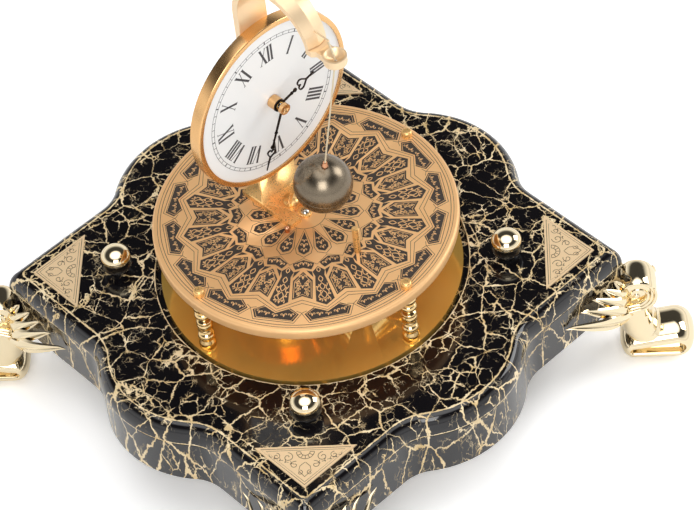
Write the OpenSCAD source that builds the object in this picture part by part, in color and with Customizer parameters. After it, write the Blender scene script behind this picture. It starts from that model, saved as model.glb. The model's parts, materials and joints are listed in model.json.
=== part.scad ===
// Mantel clock with a conical pendulum, on a scalloped square base with four scroll feet.
// Millimetres, +Z up, the dial faces -Y, and the origin is on the table under the centre.

/* [Base] */
// Half width of the base's top face, between its straight sides
base_half = 103; // [100:0.5:112]
// How far each side's lobe reaches from the centre
lobe_reach = 119; // [116:0.2:124]
// Radius of the lobe
lobe_r = 48; // [40:1:52]
// Radius of the hollow that joins the lobe to the straight side
hollow_r = 28; // [20:1:34]
// Rounding of the corner tips
tip_r = 3; // [2:0.5:8]
// Height of the base
base_h = 38; // [32:1:44]
// How far the rounded top edge swells out
edge_out = 6; // [4:0.5:8]
// How far the rounded top edge comes down
edge_drop = 10; // [8:0.5:13]
// Height of the base's underside over the table
ride_h = 37.5; // [34:0.5:42]
// Radius of the round well in the top face
well_r = 78; // [76.5:0.5:80]
// Depth of the well to its ledge
well_depth = 5; // [4:0.5:8]
// Radius of the opening through the base
through_r = 66; // [60:1:70]

/* [Trim] */
// Distance of a corner plate's point from the centre
plaque_tip = 139.3; // [136:0.5:140]
// Half length of a corner plate's long edge
plaque_half = 24.1; // [18:0.5:26]
// Thickness of a corner plate
plaque_t = 0.6; // [0.4:0.1:1]
// Distance of each ball knob from the centre
knob_at = 96.6; // [92:0.5:100]
// Widest radius of a ball knob
knob_r = 7.5; // [5.5:0.1:8]
// Half height of a ball knob
knob_rise = 5; // [4:0.1:7]
// Height of the knob's middle over the base
knob_lift = 10.4; // [9.5:0.1:13]

/* [Plates] */
// Radius of both movement plates
plate_r = 75; // [73:0.5:76]
// Thickness of the bottom plate
bottom_t = 4; // [3:0.5:4.5]
// Thickness of the engraved top plate
top_t = 6.5; // [5:0.5:8]
// Height between the plates
pillar_h = 30.5; // [30.5:0.5:34]
// Distance of each pillar from the centre
pillar_at = 69.7; // [68:0.1:70]
// Radius of a pillar's thickest ring
pillar_r = 4.2; // [3.5:0.1:4.6]

/* [Dial] */
// Height of the dial's centre over the top plate
dial_lift = 69.1; // [66:0.5:76]
// Visible radius of the white dial
dial_r = 44.1; // [40:0.1:46]
// Width of the bezel's face
bezel_w = 2.6; // [2:0.1:4]
// Distance of the dial's face behind the centre
dial_y = 13.5; // [13.5:0.5:15]
// Length of the hour hand
hour_len = 23.5; // [20:0.5:26]
// Length of the minute hand
minute_len = 35; // [30:0.5:38]
// Thickness of a hand
hand_t = 0.6; // [0.4:0.1:0.8]
// Angle of the hour hand, clockwise from twelve
hour_at = 77; // [0:1:359]
// Angle of the minute hand, clockwise from twelve
minute_at = 204; // [0:6:354]

/* [Standard and pendulum] */
// Width of the upright bar
bar_w = 17; // [14:0.5:20]
// Thickness of the upright bar
bar_t = 3.5; // [3:0.25:4]
// Width of the arch at its free end
arch_tip_w = 11; // [9:0.5:13]
// Mean radius of the arch
arch_r = 23; // [22:0.5:25]
// Height of the arch's centre over the top plate
arch_lift = 128; // [124:1:136]
// Distance of the pendulum's axis in front of the centre
orbit_y = 36.5; // [36:0.25:38]
// Length of the thread from the collar to the ball's middle
thread_len = 97.6; // [92:0.2:99]
// Lean of the thread from upright
thread_lean = 11.7; // [6:0.1:12.5]
// Radius of the ball
ball_r = 14.3; // [12:0.1:15]
// Radius of the thread
thread_r = 0.4; // [0.3:0.05:0.5]
// Radius of the drive post
post_r = 1.7; // [1.4:0.1:2]
// Height of the drive post over the top plate
post_h = 16; // [12:0.5:17]

/* [Train] */
// Module of the centre and fourth wheels
train_m = 0.5; // [0.49:0.005:0.5]
// Thickness of a wheel
wheel_t = 1.6; // [1.2:0.1:1.8]
// Radial clearance of a turning pivot in its hole
run_gap = 0.05; // [0.03:0.01:0.08]

/* [Hidden] */
$fn = 64;

// A hair of overlap for clean cuts
eps = 0.01;
// A small clearance between pieces of one body
seat = 0.02;
// A gap between a turning piece and a fixed one
gap = 0.3;

base_top = ride_h + base_h;
crease_step = 0.8;
crease_h = 0.6;
corner_turns = [-45, 45, 135, 225];

bottom_top = base_top - well_depth + bottom_t;
bottom_z = bottom_top - bottom_t;
top_z = bottom_top + pillar_h;
top_top = top_z + top_t;
edge_r = 1.6;

// Feet, in a plane through the corner: u outwards and z up
foot_wall = (base_half + edge_out) * sqrt(2) - tip_r * (sqrt(2) - 1) + gap;
foot_w = 24;
foot_neck_w = 14;
volute_r = 11.5;
volute_z = ride_h + 10.8;
scroll_r = 10.8;
scroll_inner_r = 8.8;
scroll_len = 18;
pad_t = 1.2;
pad_r = 7;
tongue_t = 4;
tongue_in = 23;
wing_t = 3;
wing_off = 0.1;
wing_len = 38;
volute_u = foot_wall + volute_r + 0.2;
scroll_u = foot_wall + 25;
screw_u = foot_wall - 16;
screw_r = 1.5;
screw_len = 12;
screw_head_r = 3.2;
screw_head_h = 2;

// Spools that carry the ball knobs
spool_foot_r = 4.6;
spool_foot_h = 1;
spool_rim_r = 7.8;
spool_rim_h = 1;
knob_in = 0.6;

// Pillars, nuts and studs
stud_r = 1.5;
nut_r = 2.75;
nut_h = 3.5;

// Teeth: heights as shares of the module, half widths as shares of the pitch
tooth_add = 0.75;
tooth_ded = 0.95;
tooth_tip = 0.1;
tooth_root = 0.2;
mesh_gap = 0.05;

pivot_r = 0.8;
pivot_len = 3;
arbor_r = 1.2;
third_arbor_r = 1;
shake = 0.2;

// Tooth counts
centre_n = 80;
third_pinion_n = 10;
third_n = 72;
fourth_pinion_n = 12;
fourth_n = 72;
drive_n = 8;
great_n = 72;
centre_pinion_n = 12;
take_n = 60;
shaft_n = 20;
crown_n = 24;
leaf_n = 8;
cannon_n = 12;
motion_n = 36;
motion_pinion_n = 12;
hour_n = 48;
ratchet_n = 20;

// Standard: the flat bar stands behind the dial's case
case_depth = 5.8;
bar_y = dial_y + case_depth;
bar_back = bar_y + bar_t;
dial_z = top_top + dial_lift;
arch_z = top_top + arch_lift;
arch_y = bar_y + bar_t / 2 - arch_r;
arch_end = 172;
flange_t = 3;
flange_half = 12;
flange_front = -2.7;
flange_notch_r = 5;
apron_t = 1.9;
apron_half = 11;
apron_gap = 0.4;
flange_behind = 4;

// Vertical shaft to the dial: its leaves mesh with the crown wheel behind the bar
crown_r = 8;
crown_w = 2;
crown_disc_t = 1.2;
crown_tooth = 1.5;
crown_tooth_w = 0.7;
crown_y = bar_back + 0.4;
leaf_tip_r = 3;
leaf_root_r = 1.6;
leaf_w = 0.5;
leaf_h = 4;
shaft_y = crown_y + crown_disc_t + gap + leaf_tip_r;
shaft_r = 1.5;
take_m = 2 * (shaft_y - mesh_gap) / (take_n + shaft_n);

// Places of the arbors
great_m = 0.7;
great_d = (great_n + centre_pinion_n) * great_m / 2 + mesh_gap;
great_a = 200;
barrel_x = great_d * cos(great_a);
barrel_y = great_d * sin(great_a);
third_d = (centre_n + third_pinion_n) * train_m / 2 + mesh_gap;
third_a = -30;
third_x = third_d * cos(third_a);
third_y = third_d * sin(third_a);
fourth_d = (fourth_n + drive_n) * train_m / 2 + mesh_gap;
fourth_a = 9;
fourth_x = fourth_d * cos(fourth_a);
fourth_y = -orbit_y + fourth_d * sin(fourth_a);

// Levels of the wheels over the bottom plate
drum_z = bottom_top + 1.5;
drum_h = 12.5;
drum_r = 20;
drum_wall = 1.2;
great_z = drum_z + drum_h;
great_t = 2.2;
fourth_z = bottom_top + 7;
third_z = bottom_top + 18.6;
take_z = bottom_top + 21.8;
centre_z = bottom_top + 25.4;
pinion_over = 1;
barrel_arbor_r = 3;
winding_r = 2.5;
winding_sq = 3.6;
ratchet_t = 2;
ratchet_r = 8;
ratchet_d = 1.3;
ratchet_z = bottom_z - 0.4 - ratchet_t;
square_len = 12;
spring_t = 0.5;
spring_turns = 5;
spring_in = 7;
hub_in_r = 5.5;

// Motion work inside the dial's case
dial_t = 0.8;
lip_d = 0.9;
case_back_t = 1.5;
dial_lip = 1;
dial_post_r = 0.8;
dial_post_at = 32.6;
bezel_edge = 0.9;
bezel_r = dial_r + bezel_w;
case_back_r = bezel_r - 0.4;
case_back_y = bar_y - case_back_t;
hour_wheel_y = dial_y + dial_t + 0.4;
hour_wheel_t = 1.2;
motion_y = hour_wheel_y + hour_wheel_t + 0.5;
motion_t = 1;
cannon_m = 0.6;
motion_d = (cannon_n + motion_n) * cannon_m / 2 + mesh_gap;
hour_m = 2 * (motion_d - mesh_gap) / (motion_pinion_n + hour_n);
minute_r = 1.2;
pipe_r = 2;
collet_r = 3.4;
hub_r = 2.9;
boss_wall = 1.2;
hand_root = 0.65;
hand_neck = 0.35;
hand_band = 0.6;
hand_tip = 0.15;
hour_loop_at = hour_len - 8;
hour_loop_r = 2.5;
minute_loop_at = minute_len - 9.8;
minute_loop_r = 2.2;
hub_cap = 0.4;
hour_hand_y = dial_y - 5.3;
minute_hand_y = dial_y - 7.3;
hub_front_y = dial_y - 9.3;

// Suspension
collar_r = 5.5;
collar_wall = 0.9;
collar_h = 4;
collar_drop = 0.4;
collar_z = arch_z - collar_drop;
collar_floor = 2.6;
collar_hole_r = 1;
neck_w = 7.4;
joint_w = 8.4;
pivot_z = collar_z + collar_floor / 2;
peg_r = 0.45;
peg_a = 155;
peg_z = arch_z + (arch_r + bar_t / 2) * sin(peg_a);
peg_out = 3;
peg_end = -orbit_y + peg_out;
ferrule_h = 5;
ferrule_r = 1;
ferrule_in = 2;
ferrule_wide = 1.8;
thread_in = 2;
ball_y = -orbit_y + thread_len * sin(thread_lean);
ball_z = pivot_z - thread_len * cos(thread_lean);

// Bush round the centre arbor, with a notched top
centre_r = 2;
centre_tip = 2.2;
bush_r = 3.4;
bush_h = 1.6;
bush_notches = 16;
bush_notch_w = 0.6;
bush_notch_d = 0.4;

// Screw and dowel on the top plate
bracket_screw_x = -1;
bracket_screw_y = 8.5;
bracket_screw_r = 2;
bracket_head_r = 3.85;
bracket_head_h = 2.2;
bracket_slot_w = 1;
bracket_slot_turn = 35;
bracket_screw_floor = 2;
dowel_x = -13.9;
dowel_y = -2;
dowel_r = 1.3;
dowel_floor = 3;
dowel_stand = 2;

// Screws that hold the dial's case to the bar, and the cock of the vertical shaft
dial_screw_r = 1;
dial_screw_off = 21;
cock_t = 3;
cock_half = 5;
cock_back = 3.5;
cock_z = dial_z - crown_r - 9.5;

// Ratchet and click: the click lies just clear of the teeth
click_a = 60;
click_out = 5;
click_pin_r = 1.2;
click_pin_in = 2;
click_turn = 115;
click_x = barrel_x + (ratchet_r + click_out) * cos(click_a);
click_y = barrel_y + (ratchet_r + click_out) * sin(click_a);

// Phase of gear 2 that meshes with gear 1, where a points from 1 to 2
function meshed(a, n1, p1, n2) = a + 180 + 180 / n2 + (a - p1) * n1 / n2;
cannon_phase = 0;
motion_phase = meshed(0, cannon_n, cannon_phase, motion_n);
motion_pinion_phase = 0;
hour_phase = meshed(180, motion_pinion_n, motion_pinion_phase, hour_n);
take_phase = 0;
centre_phase = 0;
centre_pinion_phase = 0;
third_pinion_phase = meshed(third_a, centre_n, centre_phase, third_pinion_n);
drive_phase = 0;
fourth_phase = meshed(fourth_a, drive_n, drive_phase, fourth_n);
great_phase = meshed(great_a, centre_pinion_n, centre_pinion_phase, great_n);

// Points of an arc about c, with its angles in steps of s
function arc(c, r, a0, a1, s) = [for (a = [a0:s:a1]) c + r * [cos(a), sin(a)]];
// A point turned about the origin
function turned(p, a) = [p[0] * cos(a) - p[1] * sin(a), p[0] * sin(a) + p[1] * cos(a)];

// One side of the base's outline, pushed out by d, with a corner that stays sharp
hollow_x = base_half + hollow_r;
lobe_x = lobe_reach - lobe_r;
hollow_y = sqrt(pow(lobe_r + hollow_r, 2) - pow(hollow_x - lobe_x, 2));
lobe_a = atan2(hollow_y, hollow_x - lobe_x);
function side_line(d) = concat(
    arc([hollow_x, -hollow_y], hollow_r - d, 180, 180 - lobe_a + eps, -lobe_a / 4),
    arc([lobe_x, 0], lobe_r + d, -lobe_a, lobe_a + eps, lobe_a / 6),
    arc([hollow_x, hollow_y], hollow_r - d, 180 + lobe_a * 3 / 4, 180 - eps, -lobe_a / 4),
    arc((base_half - tip_r + d) * [1, 1], tip_r, 0, 90, 15)
);
function outline(d) = [for (k = [0:3]) for (p = side_line(d)) turned(p, 90 * k)];
base_rings = concat(
    [[edge_out, ride_h],
     [edge_out - crease_step, base_top - edge_drop - crease_h],
     [edge_out - crease_step, base_top - edge_drop - crease_h / 2]],
    [for (t = [0:15:90]) [edge_out * cos(t), base_top - edge_drop + edge_drop * sin(t)]]
);

// The middle of a ring of points
function middle(ring) = [for (a = [0:2]) [for (p = ring) p[a]] * [for (p = ring) 1 / len(ring)]];

// A closed skin through rings of equal length, with a fan at each end
module loft(rings) {
    n = len(rings[0]);
    m = len(rings);
    skin = [for (j = [0:m - 2]) for (i = [0:n - 1]) each [
        [j * n + i, (j + 1) * n + i, (j + 1) * n + (i + 1) % n],
        [j * n + i, (j + 1) * n + (i + 1) % n, j * n + (i + 1) % n]
    ]];
    low_fan = [for (i = [0:n - 1]) [m * n, i, (i + 1) % n]];
    high_fan = [for (i = [0:n - 1]) [m * n + 1, (m - 1) * n + (i + 1) % n, (m - 1) * n + i]];
    polyhedron(
        points = concat([for (r = rings) each r], [middle(rings[0]), middle(rings[m - 1])]),
        faces = concat(skin, low_fan, high_fan),
        convexity = 8
    );
}

// The outline of a gear of n teeth, with a tooth at angle p
module gear_2d(n, m, p) {
    r = n * m / 2;
    step = 360 / n;
    polygon([for (i = [0:n - 1]) for (c = [
        [-tooth_root, r - tooth_ded * m],
        [-tooth_tip, r + tooth_add * m],
        [tooth_tip, r + tooth_add * m],
        [tooth_root, r - tooth_ded * m]
    ]) c[1] * [cos(p + (i + c[0]) * step), sin(p + (i + c[0]) * step)]]);
}

// A wheel with spokes, from height z, bored for its arbor
module wheel(n, m, p, z, t, bore, spokes) {
    rim = n * m / 2 - 3.2 * m - 0.6;
    hub = bore + 2;
    translate([0, 0, z])
        difference() {
            linear_extrude(t) difference() {
                gear_2d(n, m, p);
                if (spokes > 0) difference() {
                    circle(rim);
                    circle(hub);
                    for (k = [0:spokes - 1])
                        rotate(k * 360 / spokes) translate([0, -t / 2]) square([rim, t]);
                }
            }
            translate([0, 0, -eps]) cylinder(r = bore, h = t + 2 * eps);
        }
}

// A pinion from height z
module pinion(n, m, p, z, t) {
    translate([0, 0, z]) linear_extrude(t) gear_2d(n, m, p);
}

// An arbor between the plates, with a pivot at each end
module arbor(r, low, high) {
    translate([0, 0, low + shake]) cylinder(r = r, h = high - low - 2 * shake);
    translate([0, 0, low - pivot_len + shake])
        cylinder(r = pivot_r, h = high - low + 2 * pivot_len - 2 * shake);
}

// Places things on the dial's axis: local z runs towards the back of the clock
module on_dial(y) {
    translate([0, y, dial_z]) rotate([-90, 0, 0]) mirror([0, 1, 0]) children();
}

/* Base and trim */

module base_body() {
    color("#1b1714") difference() {
        loft([for (r = base_rings) [for (p = outline(r[0])) [p[0], p[1], r[1]]]]);
        translate([0, 0, bottom_z]) cylinder(r = well_r, h = base_h);
        translate([0, 0, ride_h - 1]) cylinder(r = through_r, h = base_h);
        for (a = corner_turns) rotate(a) translate([screw_u, 0, ride_h - 1])
            cylinder(r = screw_r + run_gap, h = screw_len - tongue_t + 2);
    }
}

module corner_plate(a) {
    color("#dcc48a") rotate(a) translate([0, 0, base_top]) linear_extrude(plaque_t)
        polygon([[plaque_tip, 0], [plaque_tip - plaque_half, plaque_half],
                 [plaque_tip - plaque_half, -plaque_half]]);
}

// Half of a knob's section, pushed out by d
module knob_2d(d) {
    translate([0, knob_lift])
        polygon([for (a = [-90:10:90]) [(knob_r + d) * cos(a), (knob_rise + d) * sin(a)]]);
}

module knob(a) {
    color("#e2cd9c") rotate(a) translate([knob_at, 0, base_top]) rotate_extrude() knob_2d(0);
}

module knob_collars() {
    spool_h = knob_lift - knob_rise + knob_in;
    color("#15120f") for (a = corner_turns) rotate(a)
        translate([knob_at, 0, base_top]) rotate_extrude() difference() {
            polygon([[0, 0], [spool_foot_r, 0], [spool_foot_r, spool_foot_h],
                     [spool_rim_r, spool_h - spool_rim_h], [spool_rim_r, spool_h], [0, spool_h]]);
            knob_2d(seat);
        }
}

module foot_wing() {
    translate([base_half + edge_out + wing_off, 0, ride_h]) rotate([90, 0, 90]) linear_extrude(wing_t)
        polygon([[base_half + 4, 1], [base_half + 4, 25], [base_half - 14, 24],
                 [base_half - wing_len, 15.5], [base_half - 22, 3]]);
}

module foot(a) {
    scroll_z = pad_t + scroll_r;
    inner_z = pad_t + scroll_inner_r;
    color("#e6cf98") rotate(a) difference() {
        union() {
            rotate([90, 0, 0]) {
                linear_extrude(foot_neck_w, center = true) polygon([
                    [foot_wall, volute_z], [foot_wall, ride_h], [foot_wall - tongue_in, ride_h],
                    [foot_wall - tongue_in, ride_h - tongue_t], [foot_wall - 10, ride_h - tongue_t],
                    [foot_wall - 4, ride_h - 10], [foot_wall + 3, 8], [scroll_u, scroll_z],
                    [foot_wall + 19, 22], [foot_wall + 13, 28], [foot_wall + 12, ride_h],
                    [volute_u + 4, volute_z - volute_r + 1]
                ]);
                translate([volute_u, volute_z, 0]) cylinder(r = volute_r, h = foot_neck_w, center = true);
                translate([scroll_u, scroll_z, 0]) cylinder(r = scroll_r, h = foot_w, center = true);
                translate([scroll_u - scroll_len, inner_z, 0])
                    cylinder(r = scroll_inner_r, h = foot_w, center = true);
                linear_extrude(foot_w, center = true) polygon([
                    [scroll_u - scroll_len, pad_t], [scroll_u, pad_t],
                    [scroll_u, pad_t + 2 * scroll_r], [scroll_u - scroll_len, pad_t + 2 * scroll_inner_r]
                ]);
            }
            rotate(45) mirror([0, 1, 0]) foot_wing();
            rotate(-45) foot_wing();
        }
        translate([screw_u, 0, ride_h - tongue_t - 1]) cylinder(r = screw_r + run_gap, h = tongue_t + 2);
    }
}

module foot_pads() {
    color("#3a332c") for (a = corner_turns) rotate(a)
        translate([scroll_u - scroll_len / 2, 0, 0]) cylinder(r = pad_r, h = pad_t);
}

module foot_screws() {
    color("#b9b4aa") for (a = corner_turns) rotate(a) translate([screw_u, 0, ride_h - tongue_t]) {
        cylinder(r = screw_r, h = screw_len);
        translate([0, 0, -screw_head_h]) cylinder(r = screw_head_r, h = screw_head_h);
    }
}

/* Movement frame */

module pillar_seats(r, z, h) {
    for (k = [0:3]) rotate(90 * k) translate([pillar_at, 0, z]) cylinder(r = r, h = h);
}

module pivot_holes(z) {
    for (p = [[third_x, third_y], [fourth_x, fourth_y], [barrel_x, barrel_y]])
        translate([p[0], p[1], z]) cylinder(r = pivot_r + run_gap, h = pivot_len);
}

module bottom_plate() {
    color("#c99a3e") difference() {
        translate([0, 0, bottom_z]) cylinder(r = plate_r, h = bottom_t);
        for (p = [[third_x, third_y], [fourth_x, fourth_y], [0, 0], [0, -orbit_y], [0, shaft_y]])
            translate([p[0], p[1], bottom_top - pivot_len])
                cylinder(r = pivot_r + run_gap, h = pivot_len + 1);
        translate([barrel_x, barrel_y, bottom_z - 1]) cylinder(r = winding_r + run_gap, h = bottom_t + 2);
        pillar_seats(stud_r + seat, bottom_z - 1, bottom_t + 2);
        translate([click_x, click_y, bottom_z - 1]) cylinder(r = click_pin_r + seat, h = 1 + click_pin_in);
    }
}

module pillar(a) {
    foot_h = 3;
    color("#dcae54") rotate(a) translate([pillar_at, 0, bottom_top]) rotate_extrude() polygon(concat(
        [[0, -bottom_t], [stud_r, -bottom_t], [stud_r, 0], [pillar_r, 0], [pillar_r, foot_h]],
        arc([pillar_r * 0.45, pillar_h * 0.25], pillar_r * 0.55, -60, 60, 20),
        [[pillar_r * 0.5, pillar_h * 0.36], [pillar_r * 0.9, pillar_h * 0.4]],
        arc([pillar_r * 0.3, pillar_h * 0.5], pillar_r * 0.65, -40, 40, 20),
        [[pillar_r * 0.9, pillar_h * 0.6], [pillar_r * 0.5, pillar_h * 0.64]],
        arc([pillar_r * 0.45, pillar_h * 0.75], pillar_r * 0.55, -60, 60, 20),
        [[pillar_r, pillar_h - foot_h], [pillar_r, pillar_h], [stud_r, pillar_h],
         [stud_r, pillar_h + top_t + nut_h / 2], [0, pillar_h + top_t + nut_h / 2]]
    ));
}

module pillar_nuts() {
    color("#d9a558") for (k = [0:3]) rotate(90 * k) translate([pillar_at, 0, top_top]) difference() {
        rotate_extrude() polygon(concat(
            [[0, 0], [nut_r, 0]],
            arc([nut_r - 1.2, nut_h - 1.2], 1.2, 0, 90, 15),
            [[0, nut_h]]
        ));
        translate([0, 0, -eps]) cylinder(r = stud_r + seat, h = nut_h / 2 + 2 * seat);
    }
}

module top_plate() {
    color("#d8ab6c") difference() {
        translate([0, 0, top_z]) rotate_extrude() polygon(concat(
            [[0, 0]],
            arc([plate_r - edge_r, edge_r], edge_r, -90, 0, 15),
            arc([plate_r - edge_r, top_t - edge_r], edge_r, 0, 90, 15),
            [[0, top_t]]
        ));
        pivot_holes(top_z - eps);
        pillar_seats(stud_r + seat, top_z - 1, top_t + 2);
        translate([0, 0, top_z - 1]) cylinder(r = centre_r + run_gap, h = top_t + 2);
        translate([0, -orbit_y, top_z - 1]) cylinder(r = post_r + run_gap, h = top_t + 2);
        translate([0, shaft_y, top_z - 1]) cylinder(r = shaft_r + run_gap, h = top_t + 2);
        translate([bracket_screw_x, bracket_screw_y, top_z + bracket_screw_floor])
            cylinder(r = bracket_screw_r + seat, h = top_t);
        translate([dowel_x, dowel_y, top_z + dowel_floor]) cylinder(r = dowel_r + seat, h = top_t);
    }
}

module centre_bush() {
    color("#d9a558") translate([0, 0, top_top]) difference() {
        cylinder(r = bush_r, h = bush_h);
        translate([0, 0, -eps]) cylinder(r = centre_r + run_gap, h = bush_h + 1);
        for (k = [0:bush_notches - 1]) rotate(k * 360 / bush_notches)
            translate([bush_r - bush_notch_d, -bush_notch_w / 2, bush_h - bush_notch_w])
                cube([2 * bush_notch_d, bush_notch_w, 2 * bush_notch_w]);
    }
}

module dial_bracket() {
    back = shaft_y + flange_behind;
    shaft_room = shaft_r + 0.7;
    color("#e0a040") difference() {
        union() {
            translate([-flange_half, flange_front, top_top])
                cube([2 * flange_half, back - flange_front, flange_t]);
            translate([-apron_half, bar_y - apron_t, top_top])
                cube([2 * apron_half, apron_t, dial_z - bezel_r - apron_gap - top_top]);
        }
        translate([0, 0, top_top - 1]) cylinder(r = flange_notch_r, h = flange_t + 2);
        translate([-flange_notch_r, flange_front - 1, top_top - 1])
            cube([2 * flange_notch_r, -flange_front + 1, flange_t + 2]);
        translate([0, shaft_y, top_top - 1]) cylinder(r = shaft_room, h = flange_t + 2);
        translate([bracket_screw_x, bracket_screw_y, top_top - 1])
            cylinder(r = bracket_screw_r + seat, h = flange_t + 2);
    }
}

module bracket_screw() {
    screw_in = bracket_screw_floor + gap;
    color("#cfa56a") translate([bracket_screw_x, bracket_screw_y, top_top]) difference() {
        union() {
            translate([0, 0, screw_in - top_t])
                cylinder(r = bracket_screw_r, h = top_t - screw_in + flange_t);
            translate([0, 0, flange_t]) cylinder(r = bracket_head_r, h = bracket_head_h);
        }
        rotate(bracket_slot_turn)
            translate([-bracket_head_r - 1, -bracket_slot_w / 2, flange_t + bracket_head_h / 2])
                cube([2 * bracket_head_r + 2, bracket_slot_w, bracket_head_h]);
    }
}

module dowel_pin() {
    color("#b9703a") translate([dowel_x, dowel_y, top_z + dowel_floor]) {
        cylinder(r = dowel_r, h = top_t - dowel_floor + dowel_stand);
        translate([0, 0, top_t - dowel_floor + dowel_stand]) sphere(dowel_r);
    }
}

/* Standard and suspension */

function arch_section(a) = let (
    w = bar_w - (bar_w - arch_tip_w) * a / arch_end,
    ridge = 1.2 * a / arch_end,
    low = arch_r - bar_t / 2,
    high = arch_r + bar_t / 2
) [for (p = [[-w / 2, low], [w / 2, low], [w / 2, high - ridge], [0, high], [-w / 2, high - ridge]])
    [p[0], arch_y + p[1] * cos(a), arch_z + p[1] * sin(a)]];

module standard() {
    color("#e3aa62") difference() {
        union() {
            translate([-bar_w / 2, bar_y, top_top + flange_t])
                cube([bar_w, bar_t, arch_z - top_top - flange_t]);
            loft([for (i = [0:24]) arch_section(arch_end * i / 24)]);
        }
        translate([0, bar_y - 1, dial_z]) rotate([-90, 0, 0])
            cylinder(r = minute_r + run_gap, h = bar_t + 2);
        for (s = [-1, 1]) translate([0, bar_y - 1, dial_z + s * dial_screw_off]) rotate([-90, 0, 0])
            cylinder(r = dial_screw_r + seat, h = bar_t + 2);
        translate([0, peg_end, peg_z]) rotate([-90, 0, 0]) cylinder(r = peg_r + seat, h = -peg_end);
    }
}

module dial_screws() {
    color("#b9b4aa") for (s = [-1, 1]) translate([0, case_back_y + seat, dial_z + s * dial_screw_off])
        rotate([-90, 0, 0]) {
            cylinder(r = dial_screw_r, h = case_back_t + bar_t);
            translate([0, 0, case_back_t + bar_t - seat]) cylinder(r = 2 * dial_screw_r, h = dial_screw_r);
        }
}

module shaft_cock() {
    color("#d9a558") difference() {
        translate([-cock_half, bar_back, cock_z])
            cube([2 * cock_half, shaft_y + cock_back - bar_back, cock_t]);
        translate([0, shaft_y, cock_z - 1]) cylinder(r = shaft_r + run_gap, h = cock_t + 2);
    }
}

module suspension_collar() {
    shoe_top = arch_z + (arch_r - bar_t / 2) * sin(arch_end) - 0.05;
    shoe_back = arch_y + (arch_r - bar_t / 2) * cos(arch_end);
    shoe_front = arch_y + (arch_r + bar_t / 2) * cos(arch_end);
    color("#e3aa62") difference() {
        union() {
            translate([0, 0, collar_z]) linear_extrude(shoe_top - collar_z) polygon([
                [arch_tip_w / 2, shoe_back], [arch_tip_w / 2, shoe_front],
                [neck_w / 2, shoe_front - (arch_tip_w - neck_w) / 2], [joint_w / 2, -orbit_y],
                [-joint_w / 2, -orbit_y], [-neck_w / 2, shoe_front - (arch_tip_w - neck_w) / 2],
                [-arch_tip_w / 2, shoe_front], [-arch_tip_w / 2, shoe_back]
            ]);
            translate([0, -orbit_y, collar_z]) cylinder(r = collar_r, h = collar_h);
        }
        translate([0, -orbit_y, pivot_z]) cylinder(r = collar_r - collar_wall, h = collar_h);
        translate([0, -orbit_y, collar_z - 1]) cylinder(r = collar_hole_r, h = collar_h);
    }
}

module thread_peg() {
    peg_back = arch_y + (arch_r - bar_t / 2) * cos(peg_a) + 0.4;
    color("#d9a558") translate([0, peg_end, peg_z]) rotate([-90, 0, 0])
        cylinder(r = peg_r, h = peg_back - peg_end);
}

module thread_top() {
    from = [0, -orbit_y, pivot_z + 0.1];
    to = [0, peg_end + peg_r, peg_z - peg_r];
    reach = norm(to - from);
    color("#e8d5a8") translate(from) rotate([-atan2(to[1] - from[1], to[2] - from[2]), 0, 0])
        cylinder(r = thread_r, h = reach - thread_r / 2);
}

/* Dial and hands */

module dial_plate() {
    color("#f4f3ef") on_dial(dial_y) {
        difference() {
            cylinder(r = dial_r + dial_lip, h = dial_t);
            translate([0, 0, -1]) cylinder(r = pipe_r + 2 * gap, h = dial_t + 2);
        }
        for (s = [-1, 1]) translate([s * dial_post_at, 0, dial_t])
            cylinder(r = dial_post_r, h = case_back_y - dial_y - dial_t);
    }
}

module bezel() {
    depth = case_back_y - dial_y + lip_d;
    color("#dba45c") on_dial(dial_y - lip_d) rotate_extrude() polygon(concat(
        [[dial_r, 0]],
        arc([bezel_r - bezel_edge, bezel_edge], bezel_edge, -90, 0, 15),
        [[bezel_r, depth], [dial_r + dial_lip + seat, depth],
         [dial_r + dial_lip + seat, lip_d - seat], [dial_r, lip_d - seat]]
    ));
}

module dial_back() {
    color("#c99a4e") on_dial(case_back_y) difference() {
        cylinder(r = case_back_r, h = case_back_t);
        translate([0, 0, -1]) cylinder(r = minute_r + gap, h = case_back_t + 2);
        for (s = [-1, 1]) translate([0, s * dial_screw_off, -1])
            cylinder(r = dial_screw_r + seat, h = case_back_t + 2);
        translate([motion_d, 0, -1]) cylinder(r = pivot_r + seat, h = case_back_t + 2);
    }
}

module motion_stud() {
    color("#b9b4aa") on_dial(hour_wheel_y - shake) translate([motion_d, 0, 0])
        cylinder(r = pivot_r, h = case_back_y + case_back_t - hour_wheel_y + shake);
}

// A bar along +Y that narrows from half width w0 at y0 to w1 at y1
module taper(w0, y0, w1, y1) {
    polygon([[-w0, y0], [w0, y0], [w1, y1], [-w1, y1]]);
}

// A hand that points along +Y, with an open loop, its boss bored at the origin
module hand_2d(len, loop_at, loop_r, bore) {
    difference() {
        union() {
            circle(bore + boss_wall);
            taper(hand_root, 0, hand_neck, loop_at);
            translate([0, loop_at]) circle(loop_r);
            taper(hand_band, loop_at + loop_r - hand_band, hand_tip, len);
        }
        circle(bore);
        translate([0, loop_at]) circle(loop_r - hand_band);
    }
}

module hour_hand() {
    color("#2a2622") on_dial(hour_hand_y) linear_extrude(hand_t) rotate(-hour_at)
        hand_2d(hour_len, hour_loop_at, hour_loop_r, pipe_r);
}

module minute_hand() {
    color("#2a2622") on_dial(minute_hand_y) linear_extrude(hand_t) rotate(-minute_at)
        hand_2d(minute_len, minute_loop_at, minute_loop_r, minute_r);
}

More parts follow.
